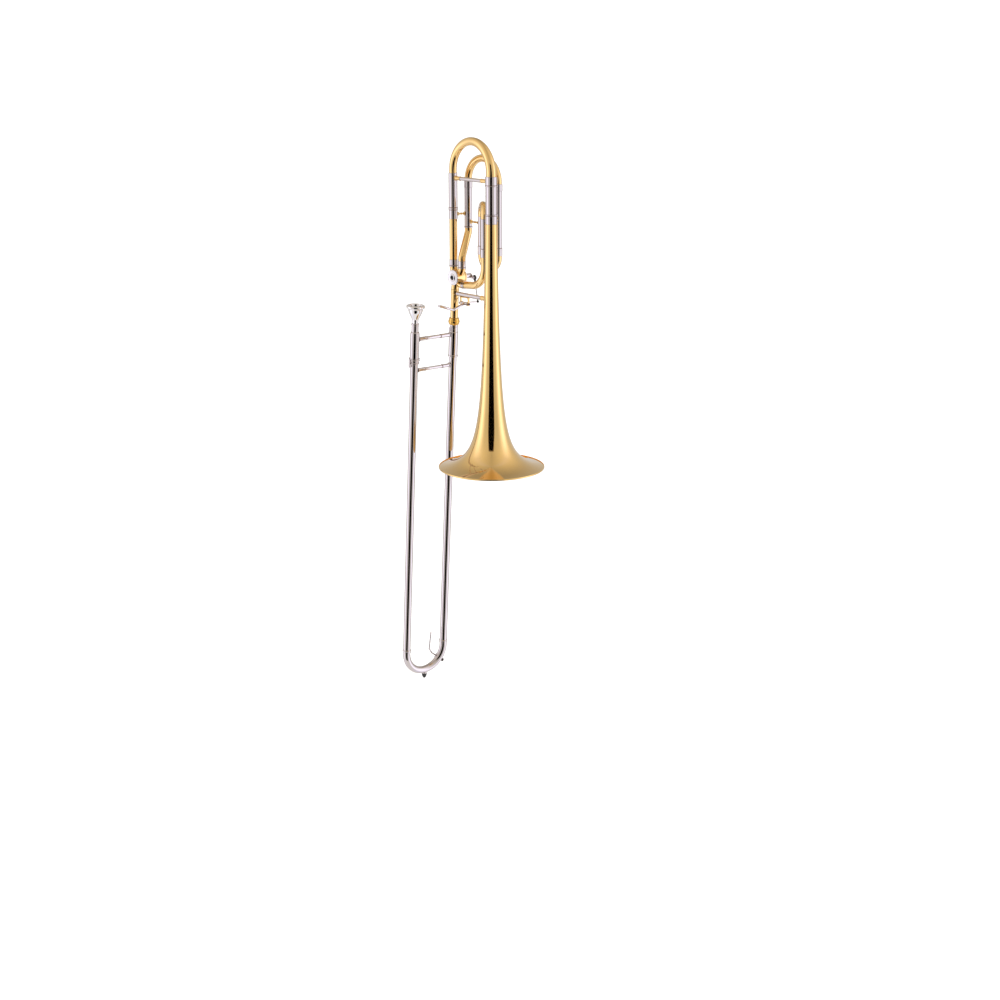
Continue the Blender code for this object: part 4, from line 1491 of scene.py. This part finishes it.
@dataclass
class Trigger:
    """The thumb lever, the saddle that it swings on and its pin."""

    barrel: float = 0.0040
    half: float = 0.0100
    link_end: Vector = field(default_factory=lambda: Vector(LINK_END))

    def saddle(self) -> None:
        """The brass saddle clamped under the bell brace, with a post at each end."""
        hinge = Packed.pivot("lever_press")
        level = Packed.middle("bell_brace").z
        low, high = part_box("lever_saddle")
        shape = Shape()
        under = level - 0.0050
        strip = [Vector((x, 0, under)) for x in (low.x, low.x + 0.001, hinge.x, high.x - 0.001, high.x)]
        sizes = [(0.0050, 0.0012), (0.0074, 0.0018), (0.0078, 0.0020), (0.0074, 0.0018), (0.0050, 0.0012)]
        shape.ribbon(strip, BACKWARD, sizes, BRASS, 3.0)
        for side in (-1, 1):
            x = hinge.x + side * (self.half + 0.0020)
            levels = (under, under - 0.003, hinge.z + 0.0045, hinge.z + 0.0012, hinge.z - 0.0036)
            path = [Vector((x, 0, level)) for level in levels]
            sizes = [(0.0062, 0.0026), (0.0044, 0.0022), (0.0044, 0.0022), (0.0062, 0.0024), (0.0036, 0.0022)]
            shape.ribbon(path, BACKWARD, sizes, BRASS, 3.0)
        shape.stand_for("lever_saddle", Slot.BRASS)

    def pin(self) -> None:
        """The hinge pin with its head."""
        hinge = Packed.pivot("lever_press")
        low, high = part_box("lever_pin")
        shape = Shape()
        length = high.x - low.x
        outline = [
            (0.0, length + 0.0008), (0.0022, length + 0.0006), (0.0024, length - 0.0006),
            (0.0015, length - 0.0007), (0.0015, 0.0007), (0.0026, 0.0006), (0.0028, -0.0004),
            (0.0024, -0.0012), (0.0, -0.0014),
        ]
        shape.turn(outline, DARK_STEEL, Vector((low.x, hinge.y, hinge.z)), RIGHT, sides=32)
        shape.stand_for("lever_pin", Slot.STEEL)

    def lever(self) -> None:
        """The lever: a hinge barrel, a thin front arm with a paddle, and a back arm to the link."""
        hinge = Packed.pivot("lever_press")
        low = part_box("thumb_lever")[0]
        shape = Shape()
        wide, slim, half = self.barrel, self.barrel - 0.0006, self.half
        outline = [
            (0.0018, half), (wide, half), (wide, half - 0.0022), (slim, half - 0.0028),
            (slim, 0.0028 - half), (wide, 0.0022 - half), (wide, -half), (0.0018, -half),
        ]
        shape.turn(outline, NICKEL, hinge, RIGHT, sides=40)
        elbow, tip = Vector((hinge.x, -0.0300, 0.3136)), Vector((hinge.x, low.y, 0.3256))
        front = rounded_route([hinge + Vector((0, -0.0030, -0.0008)), elbow, tip], 0.010, 10)
        sizes = []
        for point in front:
            share = min(max((hinge.y - point.y - 0.004) / 0.062, 0.0), 1.0)
            swell = min(max((share - 0.28) / 0.35, 0.0), 1.0)
            width = 0.0052 + 0.0078 * math.sin(math.pi / 2 * swell) ** 2
            if share > 0.93:
                width *= math.sqrt(max(1 - ((share - 0.93) / 0.09) ** 2, 0.2))
            sizes.append((width, 0.0046 + 0.0006 * share))
        shape.ribbon(front, RIGHT, sizes, NICKEL, 3.2)
        shape.ball(elbow + Vector((0, 0.0006, 0.0010)), 0.0026, NICKEL, RIGHT, 1.3)
        back = self.link_end
        arm = [
            Vector((back.x + 0.002, 0.0030, hinge.z)), Vector((back.x + 0.001, 0.018, hinge.z)),
            Vector((back.x, back.y - 0.0050, back.z)),
        ]
        route = rounded_route(arm, 0.012, 8)
        shape.ribbon(route, RIGHT, [(0.0044, 0.0028)] * len(route), NICKEL, 3.0)
        shape.stand_for("thumb_lever", Slot.NICKEL)

    def build(self) -> None:
        """Make the trigger."""
        self.saddle()
        self.pin()
        self.lever()


@dataclass
class HandSlide:
    """The hand slide's two fixed tubes, its braces, lock and barrels, and the moving outer slide."""

    inner: float = 0.0071
    outer: float = 0.0080
    barrel: float = 0.0095
    ring: float = 0.0104
    brace: float = 0.0041
    bow_start: float = 0.7184

    def __post_init__(self) -> None:
        """Read the slide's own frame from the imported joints."""
        self.top = Packed.pivot("nut_turn")
        self.down = Packed.heading("hand_slide_travel")
        across = Packed.pivot("slide_lock_turn") - self.top
        across -= self.down * across.dot(self.down)
        self.spacing = across.length
        self.across = across.normalized()
        self.ahead = self.across.cross(self.down)

    def at(self, side: float, distance: float, off: float = 0.0) -> Vector:
        """A point down the slide: side 0 is the bell's tube and side 1 the mouthpiece's."""
        return self.top + self.across * (self.spacing * side) + self.down * distance + self.ahead * off

    def turned(
        self,
        shape: Shape,
        side: float,
        outline: Outline,
        finish: Finish,
        sides: int = 48,
        edge: float = 0.0002,
    ) -> None:
        """Turn an outline of (radius, distance down the slide) about one tube's axis."""
        shape.turn(outline, finish, self.at(side, 0.0), self.down, sides, edge)

    def neck(self) -> None:
        """The leaning pipe under the valve and the nut that clamps the slide."""
        shape = Shape()
        length = 0.0662
        outline = [
            (0.0080, 0.0), (0.0080, -length + 0.0095), (0.0086, -length + 0.0090), (0.0086, -length + 0.0016),
            (0.0080, -length), (0.0070, -length), (0.0070, 0.0),
        ]
        self.turned(shape, 0, outline, BRASS)
        shape.stand_for("neck_receiver", Slot.BRASS)
        shape = Shape()
        outline = [
            (0.0091, -0.0070), (0.0094, -0.0070), (0.0100, -0.0066), (0.0104, -0.0052), (0.0106, -0.0030),
            (0.0110, -0.0020), (0.0116, -0.0008), (0.0116, 0.0018), (0.0113, 0.0030), (0.0108, 0.0040),
            (0.0104, 0.0052), (0.0098, 0.0064), (0.0094, 0.0070), (0.0091, 0.0070),
        ]
        self.turned(shape, 0, outline, DARK_BRASS, 64, 0.0001)
        shape.stand_for("lock_nut", Slot.BRASS)

    def inner_tubes(self) -> None:
        """The two long inner tubes, with the tenon and the receiver at their tops."""
        end = 0.700
        stocking = [(self.inner, 0.6998), (self.inner, 0.6100), (self.inner - 0.00012, 0.6095)]
        bell_side = [
            (0.0062, 0.0003), (0.0086, 0.0003), (0.0086, 0.0106), (0.0080, 0.0110), (self.inner, 0.0112),
        ]
        shape = Shape()
        self.turned(shape, 0, bell_side + stocking[::-1] + [(0.0062, end)], NICKEL)
        shape.stand_for("inner_tube_bell_side", Slot.NICKEL)
        shape = Shape()
        mouth_side = [
            (0.0062, -0.0060), (0.0074, -0.0060), (0.0078, -0.0054), (0.0078, -0.0026), (self.inner, -0.0020),
        ]
        self.turned(shape, 1, mouth_side + stocking[::-1] + [(0.0062, end)], NICKEL)
        shape.stand_for("inner_tube_mouth_side", Slot.NICKEL)

    def barrels(self) -> None:
        """The two cork barrels, the slide brace and the lock's lug."""
        wide, ring = self.barrel, self.ring
        shape = Shape()
        outline = [
            (0.0075, 0.0113), (0.0084, 0.0113), (0.0084, 0.0215), (wide, 0.0225), (wide, 0.0704),
            (ring, 0.0712), (ring, 0.0736), (wide - 0.0002, 0.0744), (0.0086, 0.0744), (0.0086, 0.0155),
            (0.0075, 0.0150),
        ]
        self.turned(shape, 0, outline, NICKEL)
        shape.stand_for("barrel_bell_side", Slot.NICKEL)
        shape = Shape()
        outline = [
            (0.0075, 0.0114), (0.0082, 0.0114), (0.0090, 0.0125), (wide, 0.0160), (wide, 0.0736),
            (ring, 0.0744), (ring, 0.0768), (wide - 0.0002, 0.0776), (0.0086, 0.0776), (0.0086, 0.0155),
            (0.0075, 0.0150),
        ]
        self.turned(shape, 1, outline, NICKEL)
        shape.stand_for("barrel_mouth_side", Slot.NICKEL)
        self.cross_brace("hand_brace", 0.0275, wide + 0.0006, 0.0190, 0.0240)
        low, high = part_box("barrel_lug")
        middle = (low + high) / 2
        path = [middle - self.down * d for d in (-0.0046, -0.0030, 0.0010, 0.0034, 0.0048)]
        shape = Shape()
        sizes = [(0.0030, 0.0016), (0.0030, 0.0018), (0.0028, 0.0018), (0.0026, 0.0017), (0.0016, 0.0012)]
        shape.ribbon(path, self.ahead, sizes, NICKEL, 3.0)
        shape.stand_for("barrel_lug", Slot.NICKEL)

    def cross_brace(
        self, node: str, distance: float, edge: float, first_socket: float, last_socket: float
    ) -> None:
        """A hand brace: a fine tube between two longer sockets with flanges.

        Args:
            node: The node that it stands for.
            distance: How far down the slide it sits.
            edge: Distance from a tube's axis to the brace's end.
            first_socket: Length of the socket on the mouthpiece's side.
            last_socket: Length of the socket on the bell's side.
        """
        start = self.at(0, distance) + self.across * edge
        end = self.at(1, distance) - self.across * edge
        length, r = (end - start).length, self.brace
        shape = Shape()
        bead = r + 0.0005
        near, far = last_socket, length - first_socket
        outline = [
            (0.0, 0.0), (0.0052, 0.0), (0.0052, 0.0011), (r, 0.0024), (r, near - 0.0016),
            (bead, near - 0.0012), (bead, near - 0.0002), (r - 0.0004, near), (r - 0.0004, far),
            (bead, far + 0.0002), (bead, far + 0.0012), (r, far + 0.0016), (r, length - 0.0024),
            (0.0052, length - 0.0011), (0.0052, length), (0.0, length),
        ]
        shape.turn(outline, NICKEL, start, end - start, 48, 0.00012)
        for mark in (0.0002, near + 0.0003, far - 0.0003, length - 0.0002):
            seam = tube_outline(r + 0.0001, r - 0.0010, mark - 0.0004, mark + 0.0004)
            shape.turn(seam, TARNISH, start, end - start)
        shape.stand_for(node, Slot.NICKEL)

    def lock(self) -> None:
        """The turning ring that locks the outer slide, with its finger tab."""
        pivot, level = Packed.pivot("slide_lock_turn"), 0.0680
        bore, wide, slim = self.barrel + 0.0002, 0.0112, 0.0106
        outline = [
            (wide, level - 0.0025), (wide, level - 0.0012), (slim, level - 0.0006), (slim, level + 0.0006),
            (wide, level + 0.0012), (wide, level + 0.0025), (bore, level + 0.0025), (bore, level - 0.0025),
        ]
        shape = Shape()
        self.turned(shape, 1, outline, NICKEL, 64)
        levels = (-0.0018, 0.0, 0.006, 0.012, 0.0152, 0.0160)
        path = [pivot + self.across * 0.0119 + self.down * d for d in levels]
        sizes = [
            (0.0036, 0.0018), (0.0050, 0.0022), (0.0046, 0.0020), (0.0046, 0.0020), (0.0040, 0.0020),
            (0.0020, 0.0016),
        ]
        shape.ribbon(path, self.ahead, sizes, NICKEL, 3.0)
        shape.stand_for("slide_lock", Slot.NICKEL)

    def mouthpiece(self) -> None:
        """The cup mouthpiece."""
        outside = [
            (0.0150, 0.0435), (0.0168, 0.0433), (0.0180, 0.0427), (0.0188, 0.0415), (0.0190, 0.0400),
            (0.0187, 0.0387), (0.0178, 0.0376), (0.0164, 0.0368), (0.0155, 0.0358), (0.0150, 0.0344),
            (0.0146, 0.0325), (0.0140, 0.0303), (0.0131, 0.0277), (0.0119, 0.0247), (0.0104, 0.0214),
            (0.0088, 0.0182), (0.0075, 0.0155), (0.0067, 0.0132), (0.0064, 0.0116), (0.0066, 0.0106),
            (0.0063, 0.0097), (0.0060, 0.0085), (0.0057, -0.0055), (0.0054, -0.0250),
        ]
        inside = [
            (0.0046, -0.0250), (0.0036, 0.0100), (0.0034, 0.0160), (0.0042, 0.0190), (0.0062, 0.0228),
            (0.0082, 0.0262), (0.0099, 0.0298), (0.0111, 0.0335), (0.0120, 0.0370), (0.0125, 0.0400),
            (0.0130, 0.0422), (0.0138, 0.0432),
        ]
        shape = Shape()
        shape.turn(outside + inside, SILVER, self.at(1, 0.0), -self.down, sides=96, edge=0.00025)
        shape.stand_for("mouthpiece", Slot.SILVER)

    def outer_tubes(self) -> None:
        """The outer slide's tubes and brace."""
        for side, node in ((0, "outer_tube_bell_side"), (1, "outer_tube_mouth_side")):
            shape = Shape()
            wide, low, high = self.outer, 0.0400, 0.7157
            outline = [
                (wide, low), (wide, 0.7085), (0.0090, 0.7092), (0.0092, 0.7100), (0.0092, 0.7112),
                (0.0088, 0.7118), (0.0088, high), (0.0074, high), (0.0074, low),
            ]
            self.turned(shape, side, outline, NICKEL)
            shape.stand_for(node, Slot.NICKEL)
        self.brace = 0.0038
        self.cross_brace("outer_brace", 0.0915, self.outer + 0.0006, 0.0190, 0.0190)

    def end_bow(self) -> None:
        """The bow at the slide's end, with its rubber foot in a cup."""
        start, end = self.at(0, 0.716), self.at(1, 0.716)
        path = Bows.half_turn(start, end, self.down, self.bow_start - 0.716, 60)
        shape = Shape()
        shape.pipe(path, self.outer, NICKEL)
        shape.stand_for("end_bow", Slot.NICKEL)
        shape = Shape()
        low = self.bow_start + self.spacing / 2 + self.outer + 0.0003
        outline = [
            (0.0, low), (0.0056, low), (0.0058, low + 0.0018), (0.0053, low + 0.0048),
            (0.0044, low + 0.0078), (0.0033, low + 0.0102), (0.0018, low + 0.0118), (0.0, low + 0.0123),
        ]
        shape.turn(outline, RUBBER, self.at(0.5, 0.0), self.down, 40)
        holder = [
            (0.0, low + 0.0004), (0.0060, low + 0.0004), (0.0062, low - 0.0010), (0.0052, low - 0.0030),
            (0.0, low - 0.0030),
        ]
        shape.turn(holder, NICKEL, self.at(0.5, 0.0), self.down, 40)
        shape.stand_for("bumper", Slot.RUBBER)

    def build(self) -> None:
        """Make the hand slide."""
        self.neck()
        self.inner_tubes()
        self.barrels()
        self.lock()
        self.mouthpiece()
        self.outer_tubes()
        self.end_bow()


@dataclass
class WaterKey:
    """The sprung water key on the end bow."""

    slide: HandSlide
    angle: float = 39.0
    wire: float = 0.0015

    def build(self) -> None:
        """Make the nipple, the saddle, the key and its pad."""
        slide = self.slide
        a = math.radians(self.angle)
        outward = -slide.across * math.cos(a) + slide.down * math.sin(a)
        behind = -slide.ahead
        middle = slide.at(0.5, slide.bow_start) + outward * (slide.spacing / 2)
        wall = slide.outer + 0.0003
        shape = Shape()
        nipple = [(0.0030, 0.0018), (0.0034, 0.0008), (0.0042, 0.0), (0.0018, 0.0), (0.0018, 0.0018)]
        shape.turn(nipple, NICKEL, middle + outward * wall, outward, 32)
        shape.stand_for("water_nipple", Slot.NICKEL)
        along = Packed.heading("water_key_press")
        hinge = Packed.pivot("water_key_press")
        shape = Shape()
        sizes = [(0.0090, 0.0018), (0.0074, 0.0017), (0.0060, 0.0016), (0.0036, 0.0014)]
        for side in (-1, 1):
            root = middle + behind * wall + along * (0.0036 * side)
            eye = hinge + along * (0.0036 * side)
            path = [root - behind * 0.0012, root + behind * 0.0010]
            path += [eye - behind * 0.0008, eye + behind * 0.0016]
            shape.ribbon(path, outward, sizes, NICKEL, 3.0)
        shape.pipe([hinge - along * 0.0050, hinge + along * 0.0050], 0.0009, STEEL, wall=0, sides=20)
        shape.stand_for("water_key_saddle", Slot.NICKEL)
        seat = wall + 0.0021
        shape = Shape()
        felt = [
            (0.0, 0.0026), (0.0030, 0.0026), (0.0034, 0.0020), (0.0034, 0.0003), (0.0031, 0.0), (0.0, 0.0),
        ]
        shape.turn(felt, BLACK_FELT, middle + outward * seat, outward, 32)
        shape.stand_for("water_key_pad", Slot.CORK)
        crown = middle + outward * (seat + 0.0050)
        foot = slide.at(0.0, 0.7255, -0.0060) + slide.across * 0.0335
        tip = slide.at(0.0, 0.6880, -0.0060) + slide.across * 0.0300
        corners = [
            crown, crown + behind * 0.0060, hinge + outward * 0.0020, hinge - outward * 0.0090,
            middle - outward * 0.0165 + behind * 0.0080, foot, tip,
        ]
        shape = Shape()
        shape.pipe(rounded_route(corners, 0.004, 6), self.wire, NICKEL, wall=0, sides=20)
        cup = [(0.0, 0.0), (0.0037, 0.0), (0.0039, 0.0008), (0.0036, 0.0014), (0.0, 0.0020)]
        shape.turn(cup, NICKEL, middle + outward * (seat + 0.0027), outward, 32)
        shape.pipe([hinge - along * 0.0024, hinge + along * 0.0024], 0.0019, NICKEL, wall=0, sides=24)
        shape.stand_for("water_key", Slot.NICKEL)


def main() -> None:
    """Build the studio and every sub-assembly in order."""
    logging.basicConfig(level=logging.INFO, format="%(name)s: %(message)s")
    Studio().build()
    Bell().build()
    Ferrules().build()
    Bows().build()
    Braces().build()
    Valve().build()
    Trigger().build()
    slide = HandSlide()
    slide.build()
    WaterKey(slide).build()


if __name__ == "__main__":
    main()
